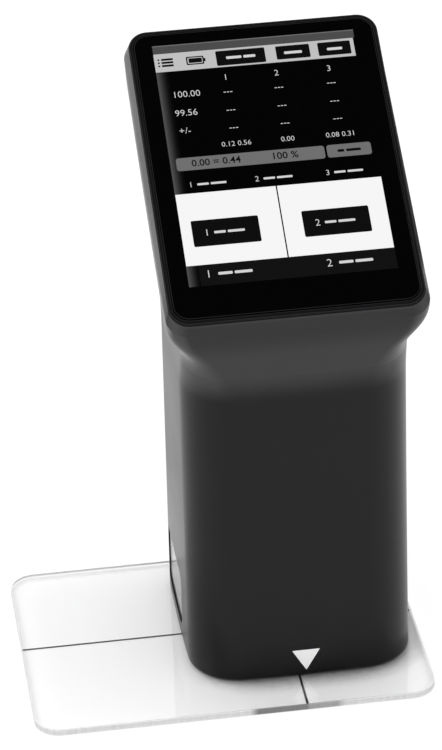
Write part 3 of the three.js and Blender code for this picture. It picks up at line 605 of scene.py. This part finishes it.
def housing_plastic(tree):
    """The housing's plastic, with painted light from the neck up: a lighter colour blended in stands
    in for the light that falls on the head from below. Round the head's front the painted light is
    weaker than at its corners and sides, and stronger on the left side; as painted shade it fades
    again towards the top, on the right, where it is matt too, and at the back. Heights are in
    millimetres over the plate."""
    plastic(tree, finish().housing, finish().housing_rough, level=0.18)
    height = tree.parts(tree.own_place())["Z"]
    normal = tree.parts(tree.geometry("Normal"))
    aside = tree.maths("ABSOLUTE", normal["X"])

    def climb(start, end, low=0, high=1):
        """A value that passes from low to high between two heights."""
        return tree.between(height, BASE_Z + start * MM, BASE_Z + end * MM, low, high)

    neck = climb(95.5, 104.5)
    head = climb(111, 119, tree.between(aside, 0.02, 0.4, 0.66, 0.95),
                 tree.between(aside, 0.02, 0.4, 0.36, 0.95))
    right = climb(126, 134, 1, tree.between(normal["X"], 0.5, 0.9, 1, 0.1))
    top = climb(158, 172, 1, 0.1)
    back = tree.between(normal["Y"], 0.15, 0.6, 1, 0)
    left = climb(114, 122, 1, tree.between(normal["X"], -0.7, -0.95, 1, 3))
    # Painted light: a lighter colour blended over the dark plastic, weaker or gone where painted shade
    # falls.
    painted_light = tree.scaled(finish().underside, climb(130, 156, left, 1))
    matt = climb(126, 134, 0, tree.between(normal["X"], 0.5, 0.9, 0, 0.9))
    colour, gloss = (tree.shader.inputs[name].links[0].from_socket for name in ("Base Color", "Roughness"))
    tree.set("Base Color", tree.blended(tree.product(neck, head, right, top, back), colour, painted_light))
    tree.set("Roughness", tree.maths("MAXIMUM", gloss, matt))


def cover_glass(tree):
    """Black backed cover glass with faint smears in its gloss."""
    tree.set("Base Color", (*finish().glass, 1))
    tree.set("Roughness", tree.ranged(tree.noise(28, 3.0), 0.03, 0.07))
    tree.set("Specular IOR Level", 0.25)


def image_ink(tree, grey, fading):
    """A lit layer of the display's image under its gloss. A fading one loses its light from
    the left edge of the image to the right, as a falling line squared."""
    tree.toned([grey * 0.02] * 3, 0.02, 40)
    tree.set("Roughness", 0.12)
    tree.set("Emission Color", (grey, grey, grey, 1))
    tree.set("Emission Strength", 1)
    if fading:
        left = AXIS_X - shown().width / 2
        light = tree.between(tree.parts(tree.own_place())["X"], left, left + shown().fade, 1.22, 0, "LINEAR")
        tree.set("Emission Strength", tree.product(light, light))


def print_ink_painted_glow(tree, colour):
    """Matt printing ink with a painted glow: it gives off a little light, though it is no lamp,
    so it reads a little brighter than the light on the front would make it.
    """
    plastic(tree, colour, 0.5, strength=0.1)
    # Painted light: the ink glows a little in its own colour.
    tree.set("Emission Color", (*colour, 1))
    tree.set("Emission Strength", 0.2)


def bright_steel(tree):
    """Plated steel with fine drawn lines."""
    tree.toned((0.6, 0.6, 0.61), 0.06, 300)
    tree.set("Metallic", 1)
    tree.set("Roughness", tree.ranged(tree.noise(900), 0.2, 0.34))


def circuit_board(tree):
    """Green solder resist over faint copper tracks."""
    tree.toned((0.02, 0.11, 0.045), 0.35, 260)
    tree.set("Roughness", 0.35)
    tree.grained(500, 0.2, 0.05 * MM)


def clear_sheet(tree, colour, ior):
    """Clear sheet that lets light through to what lies under it. Returns its shader."""
    tree.set("Base Color", (*colour, 1))
    tree.set("Transmission Weight", 1)
    tree.set("IOR", ior)
    tree.set("Roughness", tree.ranged(tree.noise(55, 4.0), 0, 0.03))
    path = tree.add("ShaderNodeLightPath").outputs
    passing = tree.maths("MAXIMUM", path["Is Shadow Ray"], path["Is Diffuse Ray"])
    clear = tree.add("ShaderNodeBsdfTransparent", {"Color": (*colour, 1)})
    sheet = tree.mixed(passing, tree.shader.outputs["BSDF"], clear.outputs["BSDF"])
    tree.show(sheet)
    return sheet


def contact_shade(tree):
    """Square of the light left on a top face near a wall: openness within a reach, leaning to
    the back and the left, where a wall takes most of the light. It is 1 inside the sheet."""
    leaning = tree.add("ShaderNodeCombineXYZ", dict(enumerate((-0.25, 0.7, 0.67)))).outputs["Vector"]
    reach = {"Distance": plate_sizes().shade_reach, "Normal": leaning}
    near = tree.add("ShaderNodeAmbientOcclusion", reach, samples=8)
    open_share = tree.between(near.outputs["AO"], 0.18, 0.62, 0.12, 1)
    left = tree.maths("MAXIMUM", open_share, tree.geometry("Backfacing"))
    return tree.product(left, left)


def clear_acrylic(tree):
    """Clear sheet with matt sawn edges. The edges carry fine upright lines; the front one is
    darkened by a painted reflection of the dark column round a middle before the column, more so
    in its left half, and their foot carries a painted glow as bright as the paper."""
    sheet = clear_sheet(tree, finish().plate, 1.49)
    tree.set("Base Color", tree.scaled(finish().plate, contact_shade(tree)))
    side = tree.maths("COMPARE", tree.parts(tree.geometry("True Normal"))["Z"], 0, 0.96)
    point = tree.own_place()
    x, z = (tree.parts(point)[name] for name in "XZ")
    upright_lines = tree.add("ShaderNodeMapping", {"Vector": point, "Scale": (1, 1, 0.02)}).outputs["Vector"]
    lines = tree.add("ShaderNodeTexNoise", {"Vector": upright_lines, "Scale": 1100, "Detail": 3})
    # Painted reflection: the front edge darkens round a middle before the column, as the dark column would
    # mirror in it, more so in its left half.
    middle = AXIS_X - 5.3 * MM
    apart = tree.maths("ABSOLUTE", tree.maths("SUBTRACT", x, middle))
    painted_reflection_halves = tree.between(x, AXIS_X - 2.4 * MM, AXIS_X - 1.4 * MM, 0.33, 0.53, "LINEAR")
    tone = tree.product(tree.ranged(lines.outputs["Fac"], 0.9, 1),
                        tree.between(apart, 11.5 * MM, 15 * MM, painted_reflection_halves, 1))
    sawn = tree.add("ShaderNodeBsdfDiffuse", {"Color": tone}).outputs["BSDF"]
    # Painted light: the edges' foot glows as bright as the paper, though it is no lamp.
    lit = tree.add("ShaderNodeEmission").outputs["Emission"]
    foot = tree.between(z, 1.2 * MM, 0.9 * MM)
    tree.show(tree.mixed(side, sheet, tree.mixed(foot, sawn, lit)))


# What builds the material of each slot
FINISHES = {
    "clear_acrylic": clear_acrylic,
    "housing_plastic": housing_plastic,
    "cover_glass": cover_glass,
    "circuit_board": circuit_board,
    "bright_steel": bright_steel,
    "optical_glass": lambda tree: clear_sheet(tree, (0.96, 0.98, 0.98), 1.52),
    "trim_plastic": lambda tree: plastic(tree, finish().trim, 0.1, strength=0.0, level=0.18),
    "port_cover_plastic": lambda tree: plastic(tree, finish().cover, 0.15, level=1.0),
    "key_plastic": lambda tree: plastic(tree, finish().key, 0.4),
    "diffuse_white": lambda tree: plastic(tree, (0.85, 0.85, 0.83), 0.7, level=0.3),
    "black_plastic": lambda tree: plastic(tree, (0.012, 0.012, 0.013), 0.5),
    "foot_rubber": lambda tree: plastic(tree, (0.014, 0.014, 0.015), 0.8, grain=1800, strength=0.3),
    "battery_wrap": lambda tree: plastic(tree, (0.03, 0.1, 0.3), 0.35, strength=0.05),
}


def slot_material(slot):
    """The material that belongs to a slot."""
    return surface(slot.replace("_", " "), FINISHES[slot])


# Pieces

def shell_object(name):
    """The housing's whole wall: an outer skin and an inner one a wall further in, joined at
    the foot and at the rim into one closed surface."""
    s, st = sizes(), stage_values()
    rows = housing_sections()
    inner_rows = drawn_in(rows[EDGE_STEPS:], s.wall)
    first = inner_rows[0].copy()
    first[[1, 3]] = s.foot
    inner_rows = np.vstack([first, inner_rows])
    outer = ring_points(rows, st.corner_steps, st.side_steps)
    inner = ring_points(inner_rows, st.corner_steps, st.side_steps)[::-1]
    rings = place(np.concatenate([outer, inner]))
    faces = grid_faces(len(rings), rings.shape[1], closed_rows=True)
    return mesh_object(name, rings.reshape(-1, 3), faces)


def box_object(low, high):
    """A box between two corners measured from the optical axis."""
    outline = [(low[0], low[1]), (high[0], low[1]), (high[0], high[1]), (low[0], high[1])]
    return prism_object("box", outline, low[2], high[2], upright)


def port_outline(grow, hinge_corner):
    """Outline of the port cover or, grown by a clearance, of its opening, from the cover's box."""
    s = sizes()
    low = (COVER_BOX[0][1] - AXIS_Y - grow, COVER_BOX[0][2] - BASE_Z - grow)
    high = (COVER_BOX[1][1] - AXIS_Y + s.port_reach + grow, COVER_BOX[1][2] - BASE_Z + grow)
    return rounded_outline(low, high, s.port_corner + grow, hinge_corner)


class COLORIMETER_OT_housing(bpy.types.Operator):
    """Moulded housing with its openings for the rear cover and the ports"""
    bl_idname = "colorimeter.housing"
    bl_label = "Housing"

    def execute(self, context):
        s = sizes()
        shell = shell_object("housing_skin")
        reach = s.base_width
        rear_room = box_object((-reach, REAR_BOX[0][1] - AXIS_Y - s.gap, -reach),
                               (reach, 3 * reach, s.rear_top + s.gap))
        port = prism_object("cutter", port_outline(s.gap, s.opening_corner), -reach,
                            3 * s.wall - reach / 2, across)
        seat = prism_object("cutter", glass_outline(s.gap), -s.rim_seat, s.rim_seat, on_rim)
        carved(shell, [rear_room, port, seat])
        shade(shell)
        done(shell, "housing_plastic", "instrument", ["main_housing"])
        return {"FINISHED"}


class COLORIMETER_OT_rear_cover(bpy.types.Operator):
    """Rear cover of the column with the opening of the measuring key"""
    bl_idname = "colorimeter.rear_cover"
    bl_label = "Rear cover"

    def execute(self, context):
        s = sizes()
        shell = shell_object("rear_cover_skin")
        reach = s.base_width
        region = box_object((-reach, REAR_BOX[0][1] - AXIS_Y, -reach), (reach, 3 * reach, s.rear_top))
        carved(shell, [region], "INTERSECT")
        key_hole = prism_object("cutter", key_outline(-s.gap, 16), s.column_rear - 2 * s.wall,
                                s.column_rear + s.wall, backwards)
        carved(shell, [key_hole])
        shade(shell)
        done(shell, "housing_plastic", "instrument", ["rear_cover"])
        return {"FINISHED"}


def key_outline(inset, steps):
    """Outline of the measuring key's cap, with round ends, drawn in by an inset."""
    inset += sizes().key_flange
    low = np.array([KEY_BOX[0][0] - AXIS_X, KEY_BOX[0][2] - BASE_Z]) + inset
    high = np.array([KEY_BOX[1][0] - AXIS_X, KEY_BOX[1][2] - BASE_Z]) - inset
    return rounded_outline(low, high, (high[0] - low[0]) / 2, steps=steps)


class COLORIMETER_OT_key(bpy.types.Operator):
    """Measuring key with a rounded crown"""
    bl_idname = "colorimeter.key"
    bl_label = "Measuring key"

    def execute(self, context):
        s = sizes()
        back, front = KEY_BOX[1][1] - AXIS_Y, KEY_BOX[0][1] - AXIS_Y + s.key_start
        turn = np.linspace(0, math.pi / 2, 9)
        heights = np.concatenate([[front], back - s.key_crown * (1 - np.sin(turn))])
        insets = np.concatenate([[0], s.key_crown * (1 - np.cos(turn))])
        key = stacked("key_skin", lambda inset: key_outline(inset, 20), heights, insets, backwards)
        remake_normals(key)
        shade(key)
        done(key, "key_plastic", "key", ["measuring_key"])
        return {"FINISHED"}


class COLORIMETER_OT_port_cover(bpy.types.Operator):
    """Port cover that follows the column's side, with its hinge barrel"""
    bl_idname = "colorimeter.port_cover"
    bl_label = "Port cover"

    def execute(self, context):
        s, st = sizes(), stage_values()
        rows = drawn_in(housing_sections(), s.cover_sink)
        form = loft_object("port_cover_skin", place(ring_points(rows, st.corner_steps, st.side_steps)))
        remake_normals(form)
        inner = COVER_BOX[1][0] - AXIS_X
        pivot_x, pivot_y = inner - s.hinge_inset, COVER_BOX[1][1] - AXIS_Y - s.hinge_radius
        outline = port_outline(0, s.cover_corner)
        outline[:, 0] = np.minimum(outline[:, 0], pivot_y)
        carved(form, [prism_object("cutter", outline, -s.base_width, inner, across)], "INTERSECT")
        low, high = COVER_BOX[0][2] - BASE_Z + s.hinge_short, COVER_BOX[1][2] - BASE_Z - s.hinge_short
        barrel = prism_object("cutter", circle(pivot_x, pivot_y, s.hinge_radius, 32), low, high, upright)
        carved(form, [barrel], "UNION")
        shade(form)
        done(form, "port_cover_plastic", "port_lid", ["port_cover"])
        return {"FINISHED"}


class COLORIMETER_OT_bezel(bpy.types.Operator):
    """Bezel round the glass, with a rounded outer edge"""
    bl_idname = "colorimeter.bezel"
    bl_label = "Bezel"

    def execute(self, context):
        s, d = sizes(), shown()
        low = s.lip - s.gap / 2
        turn = np.linspace(0, math.pi / 2, 7)
        above = np.concatenate([[-low], -d.bezel_edge * (1 - np.sin(turn))])
        draw = np.concatenate([[0], d.bezel_edge * (1 - np.cos(turn))])
        front = np.concatenate([[low], np.full(len(turn), d.bezel_reach)]) - draw
        rings = []
        for h, inset, out in zip(above, draw, front):
            outline = rounded_outline((-s.rim_width / 2 + inset, -out),
                                      (s.rim_width / 2 - inset, s.rim_length - inset),
                                      s.rim_corner - inset, steps=18)
            rings.append(on_rim(*outline.T, h))
        lip = np.linspace(0, math.pi / 2, 5)
        for h, grow in zip(-d.bezel_lip * (1 - np.cos(lip)), d.bezel_lip * (1 - np.sin(lip))):
            rings.append(on_rim(*glass_outline(s.gap + grow).T, h))
        rings.append(on_rim(*glass_outline(s.gap).T, -low))
        rings = np.array(rings)
        faces = grid_faces(len(rings), rings.shape[1], closed_rows=True)
        bezel = mesh_object("bezel_skin", rings.reshape(-1, 3), faces)
        remake_normals(bezel)
        shade(bezel, 50)
        done(bezel, "trim_plastic", "instrument", ["head_bezel"])
        return {"FINISHED"}


def glass_outline(grow):
    """Outline of the glass on the rim plane, grown by a clearance."""
    s, d = sizes(), shown()
    side = d.bezel_side + s.gap - grow
    front = d.bezel_front + s.gap - grow
    return rounded_outline((-s.rim_width / 2 + side, front), (s.rim_width / 2 - side, s.rim_length - side),
                           d.glass_corner + grow, steps=18)


class COLORIMETER_OT_glass(bpy.types.Operator):
    """Cover glass with a rounded edge"""
    bl_idname = "colorimeter.glass"
    bl_label = "Cover glass"

    def execute(self, context):
        s, d = sizes(), shown()
        bottom = -s.rim_seat + s.gap
        turn = np.linspace(0, math.pi / 2, 7)
        heights = np.concatenate([[bottom], d.glass_proud - d.glass_edge * (1 - np.sin(turn))])
        insets = np.concatenate([[0], d.glass_edge * (1 - np.cos(turn))])
        glass = stacked("glass_skin", lambda inset: glass_outline(-inset), heights, insets, on_rim)
        remake_normals(glass)
        shade(glass, 50, BROAD)
        done(glass, "cover_glass", "instrument", ["touch_glass"])
        return {"FINISHED"}


# The display's image: layers are flat shapes in millimetres from the middle of the lit area's
# front edge, x to the right and y up the slope

def screen_mapping(level):
    """Mapping from the image's x, y in millimetres to its place, on layer level."""
    s, d = sizes(), shown()

    def mapping(a, b, h):
        """The place of a, b in millimetres; h is 0 under a layer and 1 on it."""
        above = d.glass_proud + (level + h) * d.ink
        return on_rim(a * MM, d.front_margin + b * MM, above)

    return mapping


def points_of(mesh):
    """The places of a mesh's points, as rows."""
    points = np.empty(len(mesh.vertices) * 3)
    mesh.vertices.foreach_get("co", points)
    return points.reshape(-1, 3)


def joined(name, objects):
    """One object from several, in plain mesh data."""
    points, faces, start = [], [], 0
    for obj in objects:
        points.append(points_of(obj.data))
        faces += [np.array(p.vertices) + start for p in obj.data.polygons]
        start += len(points[-1])
        bpy.data.objects.remove(obj)
    return mesh_object(name, np.vstack(points), faces, smooth=False)


def block(x0, y0, x1, y1, level, radius=0.0):
    """A rounded block of the image."""
    if radius:
        outline = rounded_outline((x0, y0), (x1, y1), radius, steps=5)
    else:
        outline = [(x0, y0), (x1, y0), (x1, y1), (x0, y1)]
    return prism_object("layer", outline, 0, 1, screen_mapping(level))


def figures(text, x, y, size, level, weight=-0.01):
    """Numerals or signs centred on x, y, as a thin closed mesh. Weight grows their strokes."""
    half = 0.5
    curve = bpy.data.curves.new("figures", "FONT")
    curve.body = text
    curve.size = size
    curve.align_x = "CENTER"
    curve.align_y = "CENTER"
    curve.extrude = half
    curve.offset = weight * size
    curve.resolution_u = 3
    obj = bpy.data.objects.new("figures", curve)
    bpy.context.collection.objects.link(obj)
    graph = bpy.context.evaluated_depsgraph_get()
    mesh = bpy.data.meshes.new_from_object(obj.evaluated_get(graph))
    bpy.data.objects.remove(obj)
    points = screen_mapping(level)(*(points_of(mesh) + (x, y, half)).T)
    return mesh_object("layer", points, [p.vertices for p in mesh.polygons], smooth=False)


def bars(x, y, widths, height, level, space=0.6):
    """A line of short rounded bars centred on x, y."""
    total = sum(widths) + space * (len(widths) - 1)
    left = x - total / 2
    made = []
    for width in widths:
        made.append(block(left, y - height / 2, left + width, y + height / 2, level, height * 0.3))
        left += width + space
    return made


# Brightness of each layer of the image
IMAGE_GREYS = {"dark": 0.07, "fade": 0.06, "dim": 0.0045, "light": 0.52, "grey": 0.155, "white": 0.9,
               "black": 0.003, "text": 0.65, "deep": 0.003}


class COLORIMETER_OT_display(bpy.types.Operator):
    """Image on the display: bands, buttons, numerals and signs"""
    bl_idname = "colorimeter.display"
    bl_label = "Display image"

    def execute(self, context):
        layers = {
            "dark": [block(-30.6, 80.3, 30.2, 83.1, 1), block(-30.6, 31.3, -30.35, 73.7, 2),
                     block(-30.6, 0, -30.35, 6.9, 3)],
            "fade": [block(-30.6, 31.3, -27, 73.7, 0), block(-30.6, 0, -27, 6.9, 2)],
            "dim": [block(-30.6, 0, 30.6, 6.9, 1)],
            "light": [block(-30.6, 73.8, 29.7, 80.2, 1)],
            "grey": [block(-28.8, 39.1, 15.3, 43.5, 1, 0.8), block(16.0, 39.2, 29.2, 43.5, 1, 0.8),
                     block(-30.6, 82.8, 30.2, 83.1, 2)],
            "white": [block(-30.5, 7, -0.85, 31.2, 1), block(-0.45, 7, 30.5, 31.2, 1)],
            "black": [], "text": [], "deep": [],
        }
        black, text = layers["black"], layers["text"]
        for x0, y0, x1, y1 in ((-12.1, 74.3, 2.7, 79.5), (6, 74.7, 16.2, 79.4), (18.7, 74.7, 28.6, 79.4)):
            black.append(block(x0, y0, x1, y1, 2, 0.4))
        for x0, x1 in ((-27.3, -7.5), (5.3, 25.1)):
            black.append(block(x0, 13.1, x1, 21.9, 2, 0.5))
        for y in (75.9, 77, 78.1):
            black += [block(-28.5, y - 0.35, -25, y + 0.35, 2), block(-29.6, y - 0.27, -29.05, y + 0.27, 2)]
        black += [block(-21.1, 75.5, -15.8, 78.4, 2, 0.4), block(-15.9, 76.4, -15.3, 77.5, 2, 0.2)]
        layers["light"].append(block(-20.7, 75.9, -16.2, 78.0, 3, 0.3))
        black.append(block(-20.4, 76.15, -16.4, 77.75, 4, 0.2))
        for value, x in (("1", -10.2), ("2", 5.1), ("3", 20.9)):
            text.append(figures(value, x, 70.1, 2.9, 1))
            for y in (65.2, 58.8, 52.6):
                text.append(figures("---", x, y, 3.0, 1))
        text += [figures("0.12 0.56", -10.2, 46.9, 2.4, 1), figures("0.00", 5.1, 46.9, 2.4, 1),
                 figures("0.08 0.31", 20.9, 46.9, 2.4, 1)]
        text += [figures("100.00", -22.6, 65.4, 3.1, 1), figures("99.56", -23.5, 58.9, 3.1, 1),
                 figures("+/-", -24.7, 52.7, 3.1, 1)]
        layers["deep"] += [figures("0.00 = 0.44", -17, 41.3, 3.2, 2, 0.012),
                           figures("100 %", 3.4, 41.3, 3.3, 2, 0.012)]
        layers["deep"] += bars(22.6, 41.3, (2, 4.4), 0.9, 2)
        for x, value in ((-20.3, "1"), (-0.7, "2"), (20.3, "3")):
            text.append(figures(value, x - 5.2, 34.1, 2.6, 1))
            text += bars(x + 1, 34.1, (3.4, 4.6), 0.7, 1)
        for x, value in ((-17.4, "1"), (15.2, "2")):
            text.append(figures(value, x - 5.6, 17.5, 3.2, 3))
            text += bars(x + 1, 17.5, (3.4, 5.0), 0.8, 3)
        for x, value in ((-18, "1"), (17.4, "2")):
            text.append(figures(value, x - 6.4, 3.7, 3.6, 2))
            text += bars(x + 1.4, 3.7, (4.2, 5.2), 0.9, 2)
        for x, widths in ((-4.7, (4.6, 3.6)), (11.1, (5.4,)), (23.7, (4.6,))):
            text += bars(x, 76.9, widths, 0.9, 3)
        for name, made in layers.items():
            obj = joined(f"image_{name}", made)
            remake_normals(obj)
            ink = surface(f"image {name}", image_ink, IMAGE_GREYS[name], name == "fade")
            done(obj, "cover_glass", "instrument", material=ink)
        return {"FINISHED"}


class COLORIMETER_OT_pointer(bpy.types.Operator):
    """Printed pointer over the optical axis, on the front of the column"""
    bl_idname = "colorimeter.pointer"
    bl_label = "Pointer print"

    def execute(self, context):
        s = sizes()
        steps = 12
        t, u = np.linspace(0, 1, steps + 1)[:, None], np.linspace(-1, 1, steps + 1)[None, :]
        over_foot = s.pointer_low + (s.pointer_high - s.pointer_low) * t + 0 * u
        x = s.pointer_half * t * u
        share = over_foot / (s.flare_start - s.foot)
        lean = s.column_lean * (1 - (1 - share) ** 2)
        y = -s.column_front + lean - s.bow * (1 - (2 * x / s.base_width) ** 2)
        skin = 0.03 * MM
        sides = [np.stack([x, y + out, over_foot + s.foot], axis=2).reshape(-1, 3) for out in (-skin, skin)]
        # Faces of both skins and the walls along their borders. The points of the tip fall together
        row, count = steps + 1, (steps + 1) ** 2
        first = np.arange(steps)
        quads = (first[:, None] * row + first).reshape(-1, 1) + [0, 1, row + 1, row]
        left = np.arange(row) * row
        borders = np.stack([left, left + steps, np.arange(row) + steps * row])
        a, b = borders[:, :-1], borders[:, 1:]
        walls = np.stack([a, b, b + count, a + count], axis=2).reshape(-1, 4)
        faces = np.vstack([quads, quads[:, ::-1] + count, walls])
        obj = mesh_object("pointer_print", place(np.vstack(sides)), faces, smooth=False)
        remake_normals(obj, 0.004 * MM)
        ink = surface("pointer ink", print_ink_painted_glow, finish().print_white)
        done(obj, "diffuse_white", "instrument", material=ink)
        return {"FINISHED"}


class COLORIMETER_OT_plate(bpy.types.Operator):
    """Clear locating plate with polished edges and etched cross lines"""
    bl_idname = "colorimeter.plate"
    bl_label = "Locating plate"

    def execute(self, context):
        p = plate_sizes()
        axis = np.array([AXIS_X, AXIS_Y, BASE_Z])
        low, high = np.array(PLATE_BOX[0]) - axis, np.array(PLATE_BOX[1]) - axis
        turn = np.linspace(0, math.pi / 2, 5)
        rise, draw = p.edge * (1 - np.cos(turn)), p.edge * (1 - np.sin(turn))
        heights = np.concatenate([low[2] + rise, high[2] - draw])
        insets = np.concatenate([draw, rise])

        def outline(inset):
            """Outline of the plate, drawn in by an inset."""
            return rounded_outline(low[:2] + inset, high[:2] - inset, p.corner - inset, steps=16)

        plate = stacked("plate_skin", outline, heights, insets, upright)
        remake_normals(plate)
        hole_radius = (NOSE_BOX[1][0] - NOSE_BOX[0][0]) / 2 - p.hole_inset
        reach = 10 * MM
        carved(plate, [prism_object("cutter", circle(0, 0, hole_radius, 64), -reach, reach, upright)])
        shade(plate, flat=BROAD)
        done(plate, "clear_acrylic", "plate", ["locating_plate"])
        line, gap, mid = p.line_half, hole_radius + p.line_gap, p.line_shift
        x0, y0 = low[:2] + p.edge
        x1, y1 = high[:2] - p.edge
        depth = low[2] + p.line_depth
        made = [box_object((*a, depth), (*b, depth + p.line_thick)) for a, b in (
            ((x0, -line), (-gap, line)), ((gap, -line), (x1, line)),
            ((mid - line, y0), (mid + line, -gap)), ((mid - line, gap), (mid + line, y1)))]
        lines = joined("plate_lines", made)
        remake_normals(lines)
        ink = surface("line ink", print_ink_painted_glow, (0.02, 0.02, 0.02))
        done(lines, "black_plastic", "plate", material=ink)
        return {"FINISHED"}


class COLORIMETER_OT_carried(bpy.types.Operator):
    """Materials and smooth shading for the pieces that the frame shows as they are"""
    bl_idname = "colorimeter.carried"
    bl_label = "Carried pieces"

    def execute(self, context):
        for part in frame["record"]["subparts"]:
            obj = frame["nodes"][part["node"]]
            material = slot_material(part["material_slot"])
            if not obj.material_slots:
                obj.data.materials.append(material)
            for slot in obj.material_slots:
                slot.material = material
            obj.data.polygons.foreach_set("use_smooth", np.ones(len(obj.data.polygons), bool))
            weld = obj.modifiers.new("weld", "WELD")
            weld.merge_threshold = 0.002 * MM
            split = obj.modifiers.new("split", "EDGE_SPLIT")
            split.split_angle = math.radians(35)
        return {"FINISHED"}


# Stage

def sky_world():
    """Soft white light from a high ring, a little more from the left, with low surroundings and
    a dark cap round the point overhead that the display mirrors. To the eye it is white."""
    world = bpy.data.worlds.new("studio")
    bpy.context.scene.world = world
    world.use_nodes = True
    tree, st = Tree(world), stage_values()
    outwards = tree.add("ShaderNodeTexCoord").outputs["Generated"]

    def lobe(direction, start, end, low, high):
        """A value that goes softly from low to high as a direction nears the given one; start
        and end are cosines of the angle between the two."""
        inputs = {0: outwards, 1: Vector(direction).normalized()}
        dot = tree.add("ShaderNodeVectorMath", inputs, operation="DOT_PRODUCT")
        return tree.between(dot.outputs["Value"], start, end, low, high)

    high = lobe((0, 0, 1), 0.45, 0.85, st.sky_low, st.sky)
    left = lobe((-0.5, -0.85, 0.15), 0, 0.9, 1, st.sky_left)
    cap = lobe((0.134, -0.069, 0.989), 0.95, 0.982, 1, 0.01)
    path = tree.add("ShaderNodeLightPath").outputs
    seen = tree.maths("MAXIMUM", path["Is Camera Ray"], path["Is Transmission Ray"])
    background = tree.nodes["Background"].inputs
    background["Color"].default_value = (1, 1, 1, 1)
    tree.fill(background["Strength"], tree.maths("MAXIMUM", tree.product(high, left, cap), seen))


def floor_paper(tree):
    """White paper. Beside the plate it glows to the eye, so that it reads as white there, and
    under the plate and in reflections it shows its own colour and the object's shadow. What
    lies behind the object glows less in reflections. A ray sent through the plate counts as a
    glossy one too, so its own weight takes that glow back."""
    tree.nodes.remove(tree.shader)
    st = stage_values()
    path = tree.add("ShaderNodeLightPath").outputs
    seen, through = path["Is Camera Ray"], path["Is Transmission Ray"]
    behind = tree.between(tree.parts(tree.own_place())["Y"], 60 * MM, 120 * MM, 1, 0.6)
    mirrored = tree.product(path["Is Glossy Ray"], behind)

    def weighted(start, *terms):
        """A start value plus each output times its weight."""
        for output, weight in terms:
            start = tree.maths("MULTIPLY_ADD", output, weight, start)
        return start

    colour = weighted(st.floor_lit, (seen, st.floor_seen - st.floor_lit),
                      (through, st.floor_through - st.floor_lit))
    light = weighted(0, (seen, st.floor_glow), (mirrored, st.floor_mirrored),
                     (through, st.floor_lift - st.floor_mirrored))
    paper = tree.add("ShaderNodeBsdfDiffuse", {"Color": colour}).outputs["BSDF"]
    glow = tree.add("ShaderNodeEmission", {"Strength": light}).outputs["Emission"]
    tree.show(tree.add("ShaderNodeAddShader", {0: paper, 1: glow}).outputs["Shader"])


class COLORIMETER_OT_stage(bpy.types.Operator):
    """Floor, surroundings and camera"""
    bl_idname = "colorimeter.stage"
    bl_label = "Stage"

    def execute(self, context):
        st = stage_values()
        scene = context.scene
        scene.view_settings.view_transform = "Standard"
        corners = np.array([(-1, -1), (1, -1), (1, 1), (-1, 1)]) * st.floor_size / 2
        floor = mesh_object("floor", np.column_stack([corners, np.full(4, -st.floor_drop)]), [(0, 1, 2, 3)],
                            smooth=False)
        floor.data.materials.append(surface("floor", floor_paper))
        sky_world()
        data = bpy.data.cameras.new("camera")
        data.sensor_fit = "VERTICAL"
        data.sensor_height = 36
        data.lens = st.lens
        data.clip_end = 20
        camera = bpy.data.objects.new("camera", data)
        context.collection.objects.link(camera)
        camera.location = st.camera_place
        camera.rotation_euler = st.camera_turn
        scene.camera = camera
        return {"FINISHED"}


OPERATORS = (
    COLORIMETER_OT_stage, COLORIMETER_OT_carried, COLORIMETER_OT_housing, COLORIMETER_OT_rear_cover,
    COLORIMETER_OT_key, COLORIMETER_OT_port_cover, COLORIMETER_OT_bezel, COLORIMETER_OT_glass,
    COLORIMETER_OT_display, COLORIMETER_OT_pointer, COLORIMETER_OT_plate,
)


class COLORIMETER_PT_panel(bpy.types.Panel):
    """Lists the pieces of the colorimeter"""
    bl_idname = "COLORIMETER_PT_panel"
    bl_label = "Colorimeter"
    bl_space_type = "VIEW_3D"
    bl_region_type = "UI"
    bl_category = "Colorimeter"

    def draw(self, context):
        for operator in OPERATORS:
            self.layout.operator(operator.bl_idname)


GROUPS = {
    "colorimeter_housing": HousingSizes,
    "colorimeter_display": DisplaySizes,
    "colorimeter_plate": PlateSizes,
    "colorimeter_finish": Finish,
    "colorimeter_stage": StageValues,
}


def register():
    """Adds the sizes, the operators and the panel."""
    for cls in (*GROUPS.values(), *OPERATORS, COLORIMETER_PT_panel):
        bpy.utils.register_class(cls)
    for name, group in GROUPS.items():
        setattr(bpy.types.Scene, name, PointerProperty(type=group))


def unregister():
    """Takes them away again."""
    for name in GROUPS:
        delattr(bpy.types.Scene, name)
    for cls in (COLORIMETER_PT_panel, *reversed(OPERATORS), *reversed(GROUPS.values())):
        bpy.utils.unregister_class(cls)


def main():
    """Builds every piece."""
    register()
    for operator in OPERATORS:
        group, name = operator.bl_idname.split(".")
        getattr(getattr(bpy.ops, group), name)()


if __name__ == "__main__":
    main()
